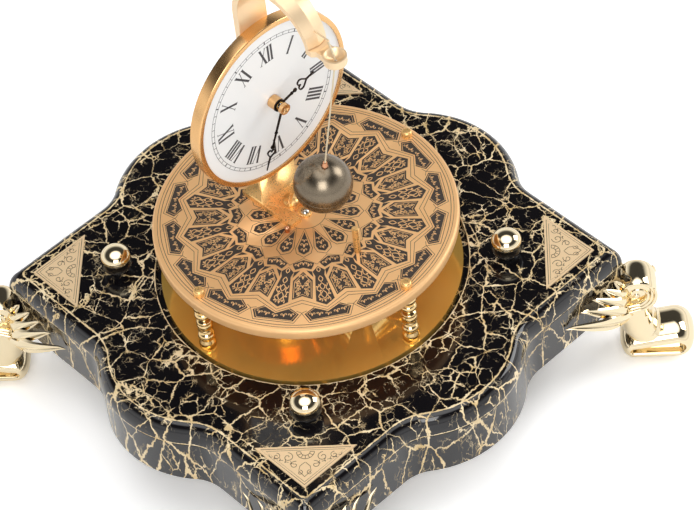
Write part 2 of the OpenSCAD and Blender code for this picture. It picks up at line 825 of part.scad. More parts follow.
module hour_wheel() {
    color("#d9a558") on_dial(0) difference() {
        union() {
            translate([0, 0, hour_wheel_y]) linear_extrude(hour_wheel_t) gear_2d(hour_n, hour_m, hour_phase);
            translate([0, 0, hour_hand_y])
                cylinder(r = pipe_r, h = hour_wheel_y - hour_hand_y + hour_wheel_t);
        }
        translate([0, 0, hour_hand_y - 1])
            cylinder(r = minute_r + run_gap, h = hour_wheel_y - hour_hand_y + hour_wheel_t + 2);
    }
}

module hour_collet() {
    color("#cfa05a") on_dial(hour_hand_y + hand_t) difference() {
        cylinder(r = collet_r, h = dial_y - gap - hour_hand_y - hand_t);
        translate([0, 0, -1]) cylinder(r = pipe_r, h = dial_y);
    }
}

module minute_arbor() {
    color("#a9a49a") on_dial(0) {
        translate([0, 0, hub_front_y + hub_cap])
            cylinder(r = minute_r, h = crown_y + crown_disc_t - hub_front_y - hub_cap);
        pinion(cannon_n, cannon_m, cannon_phase, motion_y, motion_t);
    }
}

module minute_hub() {
    color("#cfa05a") on_dial(hub_front_y) difference() {
        cylinder(r = hub_r, h = minute_hand_y - hub_front_y);
        translate([0, 0, hub_cap]) cylinder(r = minute_r, h = dial_y);
        translate([0, 0, -1]) cylinder(r = hub_r / 2, h = 1 + hub_cap / 2);
    }
}

module crown_wheel() {
    color("#d9a558") on_dial(crown_y) difference() {
        union() {
            cylinder(r = crown_r + crown_w / 2, h = crown_disc_t);
            for (k = [0:crown_n - 1]) rotate(-90 + k * 360 / crown_n)
                translate([crown_r - crown_w / 2, -crown_tooth_w / 2, crown_disc_t / 2])
                    cube([crown_w - shake, crown_tooth_w, crown_disc_t / 2 + crown_tooth]);
        }
        translate([0, 0, -1]) cylinder(r = minute_r, h = crown_disc_t + 2);
    }
}

module motion_wheel() {
    motion_lift = motion_y - hour_wheel_y + eps;
    color("#d9a558") on_dial(0) translate([motion_d, 0, 0]) difference() {
        union() {
            pinion(motion_n, cannon_m, motion_phase, motion_y, motion_t);
            pinion(motion_pinion_n, hour_m, motion_pinion_phase, hour_wheel_y, motion_lift);
        }
        translate([0, 0, hour_wheel_y - 1])
            cylinder(r = pivot_r + run_gap, h = motion_y + motion_t - hour_wheel_y + 2);
    }
}

/* Train */

module dial_shaft() {
    leaf_z = dial_z - crown_r - leaf_h / 2;
    shaft_phase = meshed(90, take_n, take_phase, shaft_n);
    color("#b9b4aa") translate([0, shaft_y, 0]) {
        translate([0, 0, bottom_top - pivot_len + shake]) cylinder(r = pivot_r, h = 2 * pivot_len);
        translate([0, 0, bottom_top + shake]) cylinder(r = shaft_r, h = leaf_z + leaf_h + gap - bottom_top);
        pinion(shaft_n, take_m, shaft_phase, take_z - pinion_over, wheel_t + 2 * pinion_over);
        translate([0, 0, leaf_z]) {
            cylinder(r = leaf_root_r, h = leaf_h);
            for (k = [0:leaf_n - 1]) rotate(-90 + (k + 0.5) * 360 / leaf_n)
                translate([0, -leaf_w / 2, 0]) cube([leaf_tip_r, leaf_w, leaf_h]);
        }
    }
}

module centre_arbor() {
    tip_z = top_top + centre_tip;
    color("#a9a49a") {
        translate([0, 0, bottom_top - pivot_len + shake]) cylinder(r = pivot_r, h = pivot_len + 1);
        translate([0, 0, bottom_top + shake]) cylinder(r = centre_r, h = tip_z - bottom_top - shake);
        pinion(centre_pinion_n, great_m, centre_pinion_phase, great_z - pinion_over,
               great_t + 2 * pinion_over);
    }
}

module centre_wheel() {
    color("#d9a558") {
        wheel(centre_n, train_m, centre_phase, centre_z, wheel_t, centre_r, 5);
        wheel(take_n, take_m, take_phase, take_z, wheel_t, centre_r, 5);
    }
}

module third_wheel() {
    color("#d9a558") translate([third_x, third_y, 0]) {
        arbor(third_arbor_r, bottom_top, top_z);
        wheel(third_n, train_m, 0, third_z, wheel_t, third_arbor_r - eps, 4);
        pinion(third_pinion_n, train_m, third_pinion_phase, centre_z - pinion_over,
               wheel_t + 2 * pinion_over);
    }
}

module fourth_wheel() {
    color("#d9a558") translate([fourth_x, fourth_y, 0]) {
        arbor(arbor_r, bottom_top, top_z);
        wheel(fourth_n, train_m, fourth_phase, fourth_z, wheel_t, arbor_r - eps, 4);
        pinion(fourth_pinion_n, train_m, 0, third_z - pinion_over, wheel_t + 2 * pinion_over);
    }
}

module drive_post() {
    hole_r = 0.5;
    hole_drop = 2.4;
    journal = 3;
    color("#d9913a") difference() {
        translate([0, -orbit_y, 0]) {
            translate([0, 0, bottom_top - pivot_len + shake]) cylinder(r = pivot_r, h = pivot_len + 1);
            translate([0, 0, bottom_top + shake]) cylinder(r = arbor_r, h = pillar_h - journal);
            translate([0, 0, top_z - journal]) cylinder(r = post_r, h = journal + top_t + post_h);
            pinion(drive_n, train_m, drive_phase, fourth_z - pinion_over, wheel_t + 2 * pinion_over);
        }
        translate([0, -orbit_y - 2 * post_r, top_top + post_h - hole_drop]) rotate([-90, 0, 0])
            cylinder(r = hole_r, h = 4 * post_r);
    }
}

module great_wheel() {
    color("#d9a558") translate([barrel_x, barrel_y, 0]) difference() {
        pinion(great_n, great_m, great_phase, great_z, great_t);
        translate([0, 0, great_z - 1]) cylinder(r = barrel_arbor_r + run_gap, h = great_t + 2);
    }
}

module barrel_drum() {
    color("#c8963c") translate([barrel_x, barrel_y, drum_z]) difference() {
        cylinder(r = drum_r, h = drum_h);
        translate([0, 0, drum_wall]) cylinder(r = drum_r - drum_wall, h = drum_h);
        translate([0, 0, -1]) cylinder(r = winding_r + run_gap, h = drum_h);
    }
}

module mainspring() {
    step = 12;
    out = drum_r - drum_wall - spring_t - shake;
    last = 360 * spring_turns;
    grow = (out - spring_in) / last;
    color("#7d7f86") translate([barrel_x, barrel_y, drum_z + drum_wall + gap])
        linear_extrude(drum_h - drum_wall - 2 * gap) polygon(concat(
            [for (a = [0:step:last]) (spring_in + grow * a) * [cos(a), sin(a)]],
            [for (a = [last:-step:0]) (spring_in + grow * a + spring_t) * [cos(a), sin(a)]]
        ));
}

module winding_arbor() {
    low = ratchet_z - square_len;
    color("#a9a49a") translate([barrel_x, barrel_y, 0]) {
        translate([-winding_sq / 2, -winding_sq / 2, low]) cube([winding_sq, winding_sq, square_len + eps]);
        translate([0, 0, ratchet_z]) cylinder(r = winding_r, h = drum_z + drum_wall + gap - ratchet_z + 1);
        translate([0, 0, drum_z + drum_wall + gap]) cylinder(r = hub_in_r, h = drum_h - drum_wall - 2 * gap);
        translate([0, 0, drum_z + drum_h / 2]) cylinder(r = barrel_arbor_r, h = drum_h / 2 + great_t + 1);
        translate([0, 0, great_z]) cylinder(r = arbor_r, h = top_z - shake - great_z);
        translate([0, 0, great_z]) cylinder(r = pivot_r, h = top_z + pivot_len - shake - great_z);
    }
}

module ratchet_wheel() {
    color("#9b968c") translate([barrel_x, barrel_y, ratchet_z]) difference() {
        linear_extrude(ratchet_t) polygon([for (i = [0:ratchet_n - 1]) each [
            ratchet_r * [cos(i * 360 / ratchet_n), sin(i * 360 / ratchet_n)],
            (ratchet_r - ratchet_d) * [cos((i + 0.1) * 360 / ratchet_n), sin((i + 0.1) * 360 / ratchet_n)]
        ]]);
        translate([0, 0, -1]) cylinder(r = winding_r, h = ratchet_t + 2);
    }
}

module click() {
    arm = 8;
    tip = 0.6;
    color("#8e8a82") translate([click_x, click_y, ratchet_z]) {
        cylinder(r = 2 * click_pin_r, h = ratchet_t);
        cylinder(r = click_pin_r - run_gap, h = ratchet_t + click_pin_in);
        linear_extrude(ratchet_t) rotate(click_a - click_turn)
            polygon([[0, -click_pin_r], [0, click_pin_r], [arm, tip], [arm + tip, -tip]]);
    }
}

/* Pendulum */

module along_thread(from) {
    translate([0, -orbit_y, pivot_z]) rotate([thread_lean, 0, 0]) translate([0, 0, -from]) children();
}

module pendulum_ball() {
    color("#6f675d") along_thread(thread_len) difference() {
        sphere(ball_r);
        translate([0, 0, ball_r - ferrule_in]) cylinder(r = ferrule_r + seat, h = 2 * ferrule_in);
    }
}

module ball_ferrule() {
    base = thread_len - ball_r;
    flare = ferrule_in + shake;
    color("#c98a5c") along_thread(base + ferrule_in - seat) difference() {
        union() {
            cylinder(r = ferrule_r, h = ferrule_h);
            translate([0, 0, flare]) cylinder(r1 = ferrule_wide, r2 = ferrule_r, h = ferrule_h - flare);
        }
        translate([0, 0, ferrule_h - thread_in]) cylinder(r = thread_r + seat, h = 2 * thread_in);
    }
}

module pendulum_thread() {
    reach = thread_len - ball_r + ferrule_in - ferrule_h + thread_in - 2 * seat;
    color("#e8d5a8") along_thread(reach) cylinder(r = thread_r, h = reach - shake);
}

base_body();
corner_plate(-45);  // corner_plate_fr
corner_plate(45);  // corner_plate_br
corner_plate(135);  // corner_plate_bl
corner_plate(225);  // corner_plate_fl
foot(-45);  // foot_fr
foot(45);  // foot_br
foot(135);  // foot_bl
foot(225);  // foot_fl
foot_pads();
foot_screws();
knob(-45);  // knob_fr
knob(45);  // knob_br
knob(135);  // knob_bl
knob(225);  // knob_fl
knob_collars();
bottom_plate();
pillar(0);  // pillar_right
pillar(90);  // pillar_back
pillar(180);  // pillar_left
pillar(270);  // pillar_front
pillar_nuts();
top_plate();
centre_bush();
dial_bracket();
bracket_screw();
dowel_pin();
standard();
dial_screws();
shaft_cock();
suspension_collar();
thread_peg();
thread_top();
dial_plate();
bezel();
dial_back();
motion_stud();
hour_wheel();
hour_collet();
hour_hand();
minute_arbor();
minute_hand();
minute_hub();
crown_wheel();
motion_wheel();
dial_shaft();
centre_arbor();
centre_wheel();
third_wheel();
fourth_wheel();
drive_post();
barrel_drum();
great_wheel();
mainspring();
winding_arbor();
ratchet_wheel();
click();
pendulum_ball();
ball_ferrule();
pendulum_thread();
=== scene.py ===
# %% [markdown]
# This clock is a square base in crackled black lacquer on four gilt scroll feet, an engraved
# round movement, and an upright dial with a ball that circles in front of it. The solids that
# carry and move are loaded first. Everything else in this file is fitted to them.

# %% Load the frame
import json
import math

import bmesh
import bpy
from mathutils import Matrix, Vector


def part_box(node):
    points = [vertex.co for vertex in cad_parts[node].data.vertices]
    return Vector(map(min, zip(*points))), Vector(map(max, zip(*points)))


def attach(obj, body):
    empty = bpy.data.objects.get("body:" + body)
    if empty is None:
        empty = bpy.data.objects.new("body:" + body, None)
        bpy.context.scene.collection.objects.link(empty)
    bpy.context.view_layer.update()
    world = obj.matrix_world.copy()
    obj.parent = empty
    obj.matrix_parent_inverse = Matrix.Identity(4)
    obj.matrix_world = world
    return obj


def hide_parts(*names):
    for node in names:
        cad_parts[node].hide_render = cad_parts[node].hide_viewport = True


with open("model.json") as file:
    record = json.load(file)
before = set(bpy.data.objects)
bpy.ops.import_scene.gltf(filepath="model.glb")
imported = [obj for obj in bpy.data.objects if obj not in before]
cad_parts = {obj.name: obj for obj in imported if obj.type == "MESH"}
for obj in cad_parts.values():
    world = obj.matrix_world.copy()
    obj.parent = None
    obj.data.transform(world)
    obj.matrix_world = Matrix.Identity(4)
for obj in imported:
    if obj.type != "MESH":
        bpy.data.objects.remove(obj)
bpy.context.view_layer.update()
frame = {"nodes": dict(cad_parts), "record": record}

MM = 0.001
print("frame:", len(frame["nodes"]), "solids")

# %% [markdown]
# The camera stands in front of the clock's left corner and looks down on it, rolled a little.
# Its place and angles are measured ones, so they are written as real sizes.

# %% Camera
CAMERA_AT = Vector((-575.97, -741.47, 1133.05)) * MM
CAMERA_AZIMUTH = math.radians(-39.01)
CAMERA_ELEVATION = math.radians(48.36)
CAMERA_ROLL = math.radians(-6.80)
CAMERA_LENS = 146.95

back = Vector((
    math.sin(CAMERA_AZIMUTH) * math.cos(CAMERA_ELEVATION),
    -math.cos(CAMERA_AZIMUTH) * math.cos(CAMERA_ELEVATION),
    math.sin(CAMERA_ELEVATION),
))
level = Vector((-back.y, back.x, 0)).normalized()
above = back.cross(level)
right = math.cos(CAMERA_ROLL) * level + math.sin(CAMERA_ROLL) * above
up = -math.sin(CAMERA_ROLL) * level + math.cos(CAMERA_ROLL) * above
lens = bpy.data.cameras.new("camera")
lens.lens = CAMERA_LENS
lens.sensor_width = 36
lens.clip_end = 20
camera = bpy.data.objects.new("camera", lens)
camera.matrix_world = Matrix((
    (right.x, up.x, back.x, CAMERA_AT.x),
    (right.y, up.y, back.y, CAMERA_AT.y),
    (right.z, up.z, back.z, CAMERA_AT.z),
    (0, 0, 0, 1),
))
bpy.context.scene.collection.objects.link(camera)
bpy.context.scene.camera = camera
bpy.context.scene.view_settings.view_transform = "Standard"
print("camera:", round(CAMERA_AT.length, 2), "m from the table's middle")


# %% [markdown]
# A material here is a small recipe of nodes. `Recipe` keeps the tree tidy: it adds a node,
# links what it is given, and hands back the output, so each finish below reads from the
# inside out.

# %% Recipe helper
class Recipe:
    """One material and the nodes that make it."""

    def __init__(self, name):
        self.material = bpy.data.materials.new(name)
        self.material.use_nodes = True
        self.nodes = self.material.node_tree.nodes
        self.links = self.material.node_tree.links
        self.shader = self.nodes["Principled BSDF"]

    def put(self, socket, value):
        """Link a value that is another node's output, or set a plain one."""
        if isinstance(value, bpy.types.NodeSocket):
            self.links.new(value, socket)
        else:
            socket.default_value = value

    def add(self, kind, out=0, settings=None, **inputs):
        """Add a node. An input goes by its name, or as i0, i1 and so on by its place."""
        node = self.nodes.new("ShaderNode" + kind)
        for key, value in (settings or {}).items():
            setattr(node, key, value)
        for key, value in inputs.items():
            by_place = key[0] == "i" and key[1:].isdigit()
            self.put(node.inputs[int(key[1:]) if by_place else key.replace("_", " ")], value)
        return node.outputs[out]

    def math(self, operation, a, b=0.0, c=0.0):
        return self.add("Math", settings={"operation": operation}, i0=a, i1=b, i2=c)

    def place(self, scale=(1, 1, 1)):
        """The point on the piece, in metres, with each axis stretched by scale."""
        return self.add("Mapping", Vector=self.add("TexCoord", out="Object"), Scale=scale)

    def noise(self, where, scale, detail=3.0, rough=0.5, out=0):
        return self.add("TexNoise", out=out, Vector=where, Scale=scale, Detail=detail,
                        Roughness=rough)

    def ramp(self, factor, *stops):
        node = self.nodes.new("ShaderNodeValToRGB")
        self.put(node.inputs[0], factor)
        elements = node.color_ramp.elements
        while len(elements) < len(stops):
            elements.new(0.5)
        for element, (at, colour) in zip(elements, stops):
            element.position = at
            element.color = (*colour, 1)
        return node.outputs[0]

    def blend(self, factor, a, b):
        """Colour a where the factor is 0, colour b where it is 1."""
        node = self.nodes.new("ShaderNodeMix")
        node.data_type = "RGBA"
        self.put(node.inputs[0], factor)
        for socket, value in ((node.inputs[6], a), (node.inputs[7], b)):
            self.put(socket, (*value, 1) if isinstance(value, tuple) else value)
        return node.outputs[2]

    def finish(self, colour, metal=0.0, rough=0.4, bump=None, bump_size=0.0001, strength=0.5,
               coat=0.0):
        self.put(self.shader.inputs["Base Color"], colour)
        self.put(self.shader.inputs["Metallic"], metal)
        self.put(self.shader.inputs["Roughness"], rough)
        self.shader.inputs["Coat Weight"].default_value = coat
        self.shader.inputs["Coat Roughness"].default_value = 0.05
        if bump is not None:
            normal = self.add("Bump", Height=bump, Distance=bump_size, Strength=strength)
            self.put(self.shader.inputs["Normal"], normal)
        return self.material


# %% [markdown]
# Gilt and polished brass are metals. Each has one tone, and noise moves it a little: wear and
# handling make it lighter here, a thin film makes it warmer there. Brushed parts get fine
# streaks by stretching the noise along one axis. Frosted gilding scatters light as paint does,
# so it is given a share of body beside its metal.

# %% Metal recipe
CLOUDS = 60
GRAINS = 900
STREAKS = 400


def metal(name, colour, film, rough, vary=0.05, streak=None, body=0.0):
    """A metal; body is the share that scatters light like paint. Noise sizes are per metre."""
    r = Recipe(name)
    where = r.place()
    cloud = r.noise(where, CLOUDS, 4)
    tone = r.blend(r.math("MULTIPLY", cloud, 0.6), colour, film)
    grain = r.noise(where, GRAINS, 2)
    uneven = r.math("MULTIPLY", r.math("SUBTRACT", grain, 0.5), vary)
    lines = r.noise(r.place(streak), STREAKS, 3) if streak else grain
    return r.finish(tone, 1.0 - body, r.math("ADD", rough, uneven), bump=lines,
                    bump_size=0.00001, strength=0.25)


# %% Gilt and brass
CHAMPAGNE = metal("champagne_gilt", (0.93, 0.80, 0.56), (0.86, 0.69, 0.42), 0.07)
SATIN_GILT = metal("satin_gilt", (0.95, 0.60, 0.24), (0.90, 0.50, 0.16), 0.28, 0.08, body=0.3)
BEZEL_GILT = metal("bezel_gilt", (0.90, 0.56, 0.26), (0.82, 0.44, 0.16), 0.24, 0.06)
ARCH_GILT = metal("arch_gilt", (0.97, 0.76, 0.50), (0.93, 0.64, 0.36), 0.38, 0.10,
                  streak=(0.1, 1, 1), body=0.35)
PLATE_GILT = metal("plate_gilt", (0.90, 0.55, 0.26), (0.84, 0.47, 0.19), 0.42, 0.12, body=0.55)
MIRROR_BRASS = metal("mirror_brass", (0.95, 0.62, 0.16), (0.86, 0.46, 0.07), 0.10, 0.04,
                     body=0.35)
PILLAR_BRASS = metal("pillar_brass", (0.92, 0.68, 0.34), (0.84, 0.54, 0.22), 0.09, 0.04)
WHEEL_BRASS = metal("wheel_brass", (0.88, 0.54, 0.16), (0.80, 0.42, 0.10), 0.22, 0.10)
PALE_BRASS = metal("pale_brass", (0.90, 0.68, 0.42), (0.84, 0.60, 0.33), 0.45, 0.12, body=0.6)
HUB_COPPER = metal("hub_copper", (0.80, 0.50, 0.24), (0.68, 0.36, 0.14), 0.18)
COPPER = metal("copper", (0.74, 0.38, 0.22), (0.60, 0.26, 0.13), 0.20)

# %% Steels
STEEL = metal("steel", (0.60, 0.58, 0.54), (0.48, 0.46, 0.42), 0.22, 0.08)
SPRING_STEEL = metal("spring_steel", (0.32, 0.34, 0.40), (0.22, 0.25, 0.33), 0.25)
BLUED = metal("blued_steel", (0.030, 0.024, 0.024), (0.050, 0.034, 0.028), 0.30)
BALL_STEEL = metal("ball_steel", (0.24, 0.195, 0.14), (0.17, 0.135, 0.095), 0.27, 0.06)
print("metals:", len(bpy.data.materials), "materials so far")


# %% [markdown]
# Crackle lacquer is gold paint under black paint that shrank as it dried. The cracks form
# cells, so a Voronoi pattern's distance to its edges draws them. Noise shakes the place first,
# which makes the cracks ragged, and noise also thins them until some end blind. Three sizes
# lie over each other: main veins, side branches, and a faint web of hair cracks. Along the
# edges, where the paint is thin, a jagged gold line shows.

# %% Crack lines
def veins(r, where, scale, push, shake_scale, widths, patches, patch_scale):
    """How far a point lies inside a crack, in millimetres; less than 0 is outside.

    The cracks are between the two widths, and a noise picks which, from its low patches to
    its high ones. A width below 0 leaves a patch without cracks.
    """
    shake = r.noise(where, shake_scale, 5, 0.65, out="Color")
    centred = r.add("VectorMath", settings={"operation": "SUBTRACT"}, i0=shake,
                    i1=(0.5, 0.5, 0.5))
    pushed = r.add("VectorMath", settings={"operation": "SCALE"}, i0=centred, Scale=push)
    ragged = r.add("VectorMath", settings={"operation": "ADD"}, i0=where, i1=pushed)
    cells = r.add("TexVoronoi", settings={"feature": "DISTANCE_TO_EDGE"}, Vector=ragged,
                  Scale=scale)
    gap = r.math("MULTIPLY", cells, 1000.0 / scale)
    patch = r.noise(where, patch_scale, 3)
    width = r.add("MapRange", Value=patch, i1=patches[0], i2=patches[1], i3=widths[0],
                  i4=widths[1])
    return r.math("SUBTRACT", width, gap)


# %% Crackle lacquer
CELL_STRETCH = (1, 1, 0.45)
# Cells a metre, how far and how finely they are shaken, widths, patches, patches a metre
MAIN_VEINS = (64.0, 0.0045, 260, (0.10, 0.58), (0.34, 0.68), 60)
SIDE_VEINS = (140.0, 0.0034, 380, (-0.20, 0.27), (0.36, 0.64), 110)
HAIR_VEINS = (300.0, 0.0024, 700, (-0.12, 0.12), (0.40, 0.62), 160)


def crackle_lacquer():
    r = Recipe("crackle_lacquer")
    where = r.place(CELL_STRETCH)
    rim = r.add("Attribute", out="Fac", settings={"attribute_name": "rim_gap"})
    near_rim = r.add("MapRange", Value=rim, i1=1.0, i2=5.0, i3=0.10, i4=0.0)
    main = veins(r, where, *MAIN_VEINS)
    side = veins(r, where, *SIDE_VEINS)
    hair = veins(r, where, *HAIR_VEINS)
    rim_width = r.add("MapRange", Value=r.noise(where, 420, 5, 0.75), i1=0.36, i2=0.66,
                      i3=0.15, i4=0.95)
    rim_line = r.math("SUBTRACT", rim_width, rim)
    crack = r.math("MAXIMUM", r.math("MAXIMUM", main, r.math("ADD", side, near_rim)), rim_line)
    bold = r.add("MapRange", Value=crack, i1=0.0, i2=0.14, i3=0.0, i4=1.0)
    faint = r.add("MapRange", Value=hair, i1=0.0, i2=0.10, i3=0.0, i4=0.6)
    gold_mask = r.math("MAXIMUM", bold, faint)
    gold = r.ramp(r.noise(where, 150, 3), (0.3, (0.62, 0.43, 0.18)), (0.7, (0.93, 0.77, 0.50)))
    black = r.ramp(r.noise(where, 40, 3), (0.3, (0.0025, 0.002, 0.003)),
                   (0.7, (0.005, 0.004, 0.005)))
    rough = r.math("ADD", r.math("MULTIPLY", gold_mask, 0.25), 0.10)
    height = r.math("SUBTRACT", r.noise(where, 35, 2), r.math("MULTIPLY", gold_mask, 0.5))
    return r.finish(r.blend(gold_mask, black, gold), 0.0, rough, bump=height,
                    bump_size=0.00025, strength=0.3, coat=0.3)


LACQUER = crackle_lacquer()


# %% [markdown]
# The plain finishes are paint, enamel, ink, felt and thread. None is a metal. Each is one
# colour that a noise darkens here and there, with a bump as fine as its grain.

# %% Plain finishes
def plain_finish(name, colour, dark, rough, scale=300, bump_size=0.00005, coat=0.0):
    r = Recipe(name)
    cloud = r.noise(r.place(), scale, 4)
    return r.finish(r.blend(cloud, colour, dark), 0.0, rough, bump=cloud, bump_size=bump_size,
                    coat=coat)


BLACK = plain_finish("black_enamel", (0.012, 0.010, 0.009), (0.020, 0.016, 0.014), 0.12,
                     coat=0.6)
ENAMEL = plain_finish("white_enamel", (0.90, 0.90, 0.89), (0.87, 0.87, 0.86), 0.22, 80,
                      0.00002, 0.3)
PRINT = plain_finish("dial_print", (0.035, 0.032, 0.036), (0.07, 0.065, 0.07), 0.5)
INK = plain_finish("engraving_ink", (0.020, 0.013, 0.010), (0.050, 0.034, 0.024), 0.7, 1400)
FELT = plain_finish("felt", (0.03, 0.027, 0.024), (0.05, 0.045, 0.04), 0.95, 1500, 0.0003)
THREAD = plain_finish("twisted_thread", (0.80, 0.70, 0.50), (0.62, 0.50, 0.32), 0.6, 2500,
                      0.0001)
print("finishes:", len(bpy.data.materials), "materials")


# %% [markdown]
# Every piece ends the same way: it is shaded smooth except at sharp corners, gets its
# material, and is told which body it rides on and which plain solid it takes the place of.
# Points that meet are joined first.

# %% Piece helpers
def weld(mesh, gap, outwards):
    """Join points that are closer than gap, in metres, and turn a new skin outwards."""
    work = bmesh.new()
    work.from_mesh(mesh)
    bmesh.ops.remove_doubles(work, verts=work.verts, dist=gap)
    if outwards:
        bmesh.ops.recalc_face_normals(work, faces=work.faces)
    work.to_mesh(mesh)
    work.free()


def dress(obj, body, material, smooth, replaces=()):
    """Shade a finished piece, give it its material and body, and hide the solids it replaces.
    """
    obj.data.shade_smooth()
    obj.data.set_sharp_from_angle(angle=math.radians(smooth))
    obj.data.materials.clear()
    obj.data.materials.append(material)
    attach(obj, body)
    for node in replaces:
        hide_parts(node)


def piece(name, verts, faces, body, material, smooth, replaces=(), rim_gaps=None):
    """A new piece from points in millimetres."""
    mesh = bpy.data.meshes.new(name)
    mesh.from_pydata([Vector(v) * MM for v in verts], [], faces)
    if rim_gaps:
        mesh.attributes.new("rim_gap", "FLOAT", "POINT").data.foreach_set("value", rim_gaps)
    weld(mesh, 1e-7, outwards=True)
    obj = bpy.data.objects.new(name, mesh)
    bpy.context.scene.collection.objects.link(obj)
    dress(obj, body, material, smooth, replaces)
    print(name + ":", len(mesh.vertices), "points")


# %% [markdown]
# Cast and cut pieces such as these have no primitive near their shape, so most are skins
# through rings of points, and the engraving is a pile of small flat shapes. These helpers
# draw on paper, in millimetres: a point at an angle, a circle, a point turned about the
# middle, a skin through rings.

# %% Drawing helpers
def spot(r, angle, x=0.0, y=0.0):
    """The point at an angle, in degrees, on a circle of radius r about (x, y)."""
    a = math.radians(angle)
    return x + r * math.cos(a), y + r * math.sin(a)


def circle(r, n=96, x=0.0, y=0.0, start=0.0, turn=360.0, ends=False):
    """n points round a circle, or along an arc that keeps its last point if ends is set."""
    return [spot(r, start + turn * i / n, x, y) for i in range(n + 1 if ends else n)]


def spin(x, y, angle):
    """The point (x, y) turned about the middle by an angle in degrees."""
    c, s = math.cos(math.radians(angle)), math.sin(math.radians(angle))
    return c * x - s * y, s * x + c * y


def skin(rings, closed=False):
    """Points and faces of a skin through equal rings; flat ends unless it meets itself."""
    n = len(rings[0])
    m = len(rings)
    faces = []
    for j in range(m if closed else m - 1):
        for i in range(n):
            k = (i + 1) % n
            a = (j + 1) % m
            faces.append((j * n + i, j * n + k, a * n + k, a * n + i))
    if not closed:
        faces.append(tuple(reversed(range(n))))
        faces.append(tuple((m - 1) * n + i for i in range(n)))
    return [p for ring in rings for p in ring], faces


# %% [markdown]
# Many small shapes make one piece: the strokes of a numeral, the leaves of an engraving.
# `Pile` collects them. A slab is an outline given a thickness, and a ribbon is a band of
# changing width along a path, as a pen would draw it. `put` says where a flat point goes.

# %% Pile helper
def as_drawn(x, y, z):
    return (x, y, z)


class Pile:
    """Collects many small closed shapes into one mesh."""

    def __init__(self):
        self.verts = []
        self.faces = []

    def add(self, verts, faces):
        base = len(self.verts)
        self.verts.extend(verts)
        self.faces.extend(tuple(base + i for i in face) for face in faces)

    def slab(self, outline, low, high, put):
        n = len(outline)
        verts = [put(x, y, z) for z in (low, high) for x, y in outline]
        faces = [tuple(reversed(range(n))), tuple(range(n, 2 * n))]
        faces += [(i, (i + 1) % n, n + (i + 1) % n, n + i) for i in range(n)]
        self.add(verts, faces)

    def ribbon(self, path, width, low, high, put=as_drawn, closed=False):
        """A flat band along a path; width is a size, or a function of the share travelled."""
        n = len(path)
        left, right_side = [], []
        for i, (x, y) in enumerate(path):
            a = path[(i - 1) % n if closed else max(i - 1, 0)]
            b = path[(i + 1) % n if closed else min(i + 1, n - 1)]
            dx, dy = b[0] - a[0], b[1] - a[1]
            size = math.hypot(dx, dy) or 1
            w = width(i / (n - 1)) / 2 if callable(width) else width / 2
            left.append((x - dy / size * w, y + dx / size * w))
            right_side.append((x + dy / size * w, y - dx / size * w))
        verts = [put(x, y, z) for z in (low, high) for x, y in left + right_side]
        faces = []
        for i in range(n if closed else n - 1):
            k = (i + 1) % n
            faces.append((i, k, n + k, n + i))
            faces.append((2 * n + i, 3 * n + i, 3 * n + k, 2 * n + k))
            faces.append((i, 2 * n + i, 2 * n + k, k))
            faces.append((n + i, n + k, 3 * n + k, 3 * n + i))
        if not closed:
            last = n - 1
            faces.append((0, n, 3 * n, 2 * n))
            faces.append((last, 2 * n + last, 3 * n + last, n + last))
        self.add(verts, faces)


# %% [markdown]
# Base: a square whose sides swell into one lobe each. Half a side is a hollow arc, a lobe arc
# that meets it without a corner, and a straight run to a mitred tip. The outline is worked
# out from these radii, so it can be pushed outwards by any amount and stay smooth.

# %% Base outline
BASE_HALF = 103.0
LOBE_REACH = 119.0
LOBE_R = 48.0
HOLLOW_R = 28.0
TIP_R = 3.0
ARC_STEPS = 14
hollow_x = BASE_HALF + HOLLOW_R
lobe_x = LOBE_REACH - LOBE_R
hollow_y = math.sqrt((LOBE_R + HOLLOW_R) ** 2 - (hollow_x - lobe_x) ** 2)
lobe_a = math.degrees(math.atan2(hollow_y, hollow_x - lobe_x))


def outline(push):
    """The base's outline, pushed outwards: one side, then the same side turned three times."""
    n = ARC_STEPS
    tip = BASE_HALF - TIP_R + push
    straight = tip - hollow_y
    hollow_r, lobe_r = HOLLOW_R - push, LOBE_R + push
    side = [spot(hollow_r, 180 - lobe_a * i / n, hollow_x, -hollow_y) for i in range(n)]
    side += [spot(lobe_r, -lobe_a + 2 * lobe_a * i / (3 * n), lobe_x) for i in range(3 * n)]
    side += [spot(hollow_r, 180 + lobe_a * (1 - i / n), hollow_x, hollow_y) for i in range(n)]
    side += [(BASE_HALF + push, hollow_y + straight * i / n) for i in range(n)]
    side += [spot(TIP_R, 90 * i / n, tip, tip) for i in range(n)]
    side += [(tip - straight * i / n, BASE_HALF + push) for i in range(n)]
    quarters = ((1, 0), (0, 1), (-1, 0), (0, -1))
    return [(c * x - s * y, s * x + c * y) for c, s in quarters for x, y in side]


print("base outline:", len(outline(0)), "points")

# %% [markdown]
# The base's rounded top edge comes from pushing that outline out a little at each height, and
# the round well from rings at the same angles. Each ring also carries its distance to the
# nearest edge where the gold shows through, and the lacquer reads that as an attribute.

# %% Base
EDGE_OUT = 6.0
EDGE_DROP = 10.0
WALL_BACK = 0.5
GROOVE_BACK = 1.3
WELL_R = 78.0
THROUGH_R = 66.0
BULLNOSE = 12
FAR = 9.0
TOP_SHARE = 0.975
low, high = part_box("base_body")
BASE_LOW = low[2] / MM
BASE_TOP = high[2] / MM
WELL_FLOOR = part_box("bottom_plate")[0][2] / MM


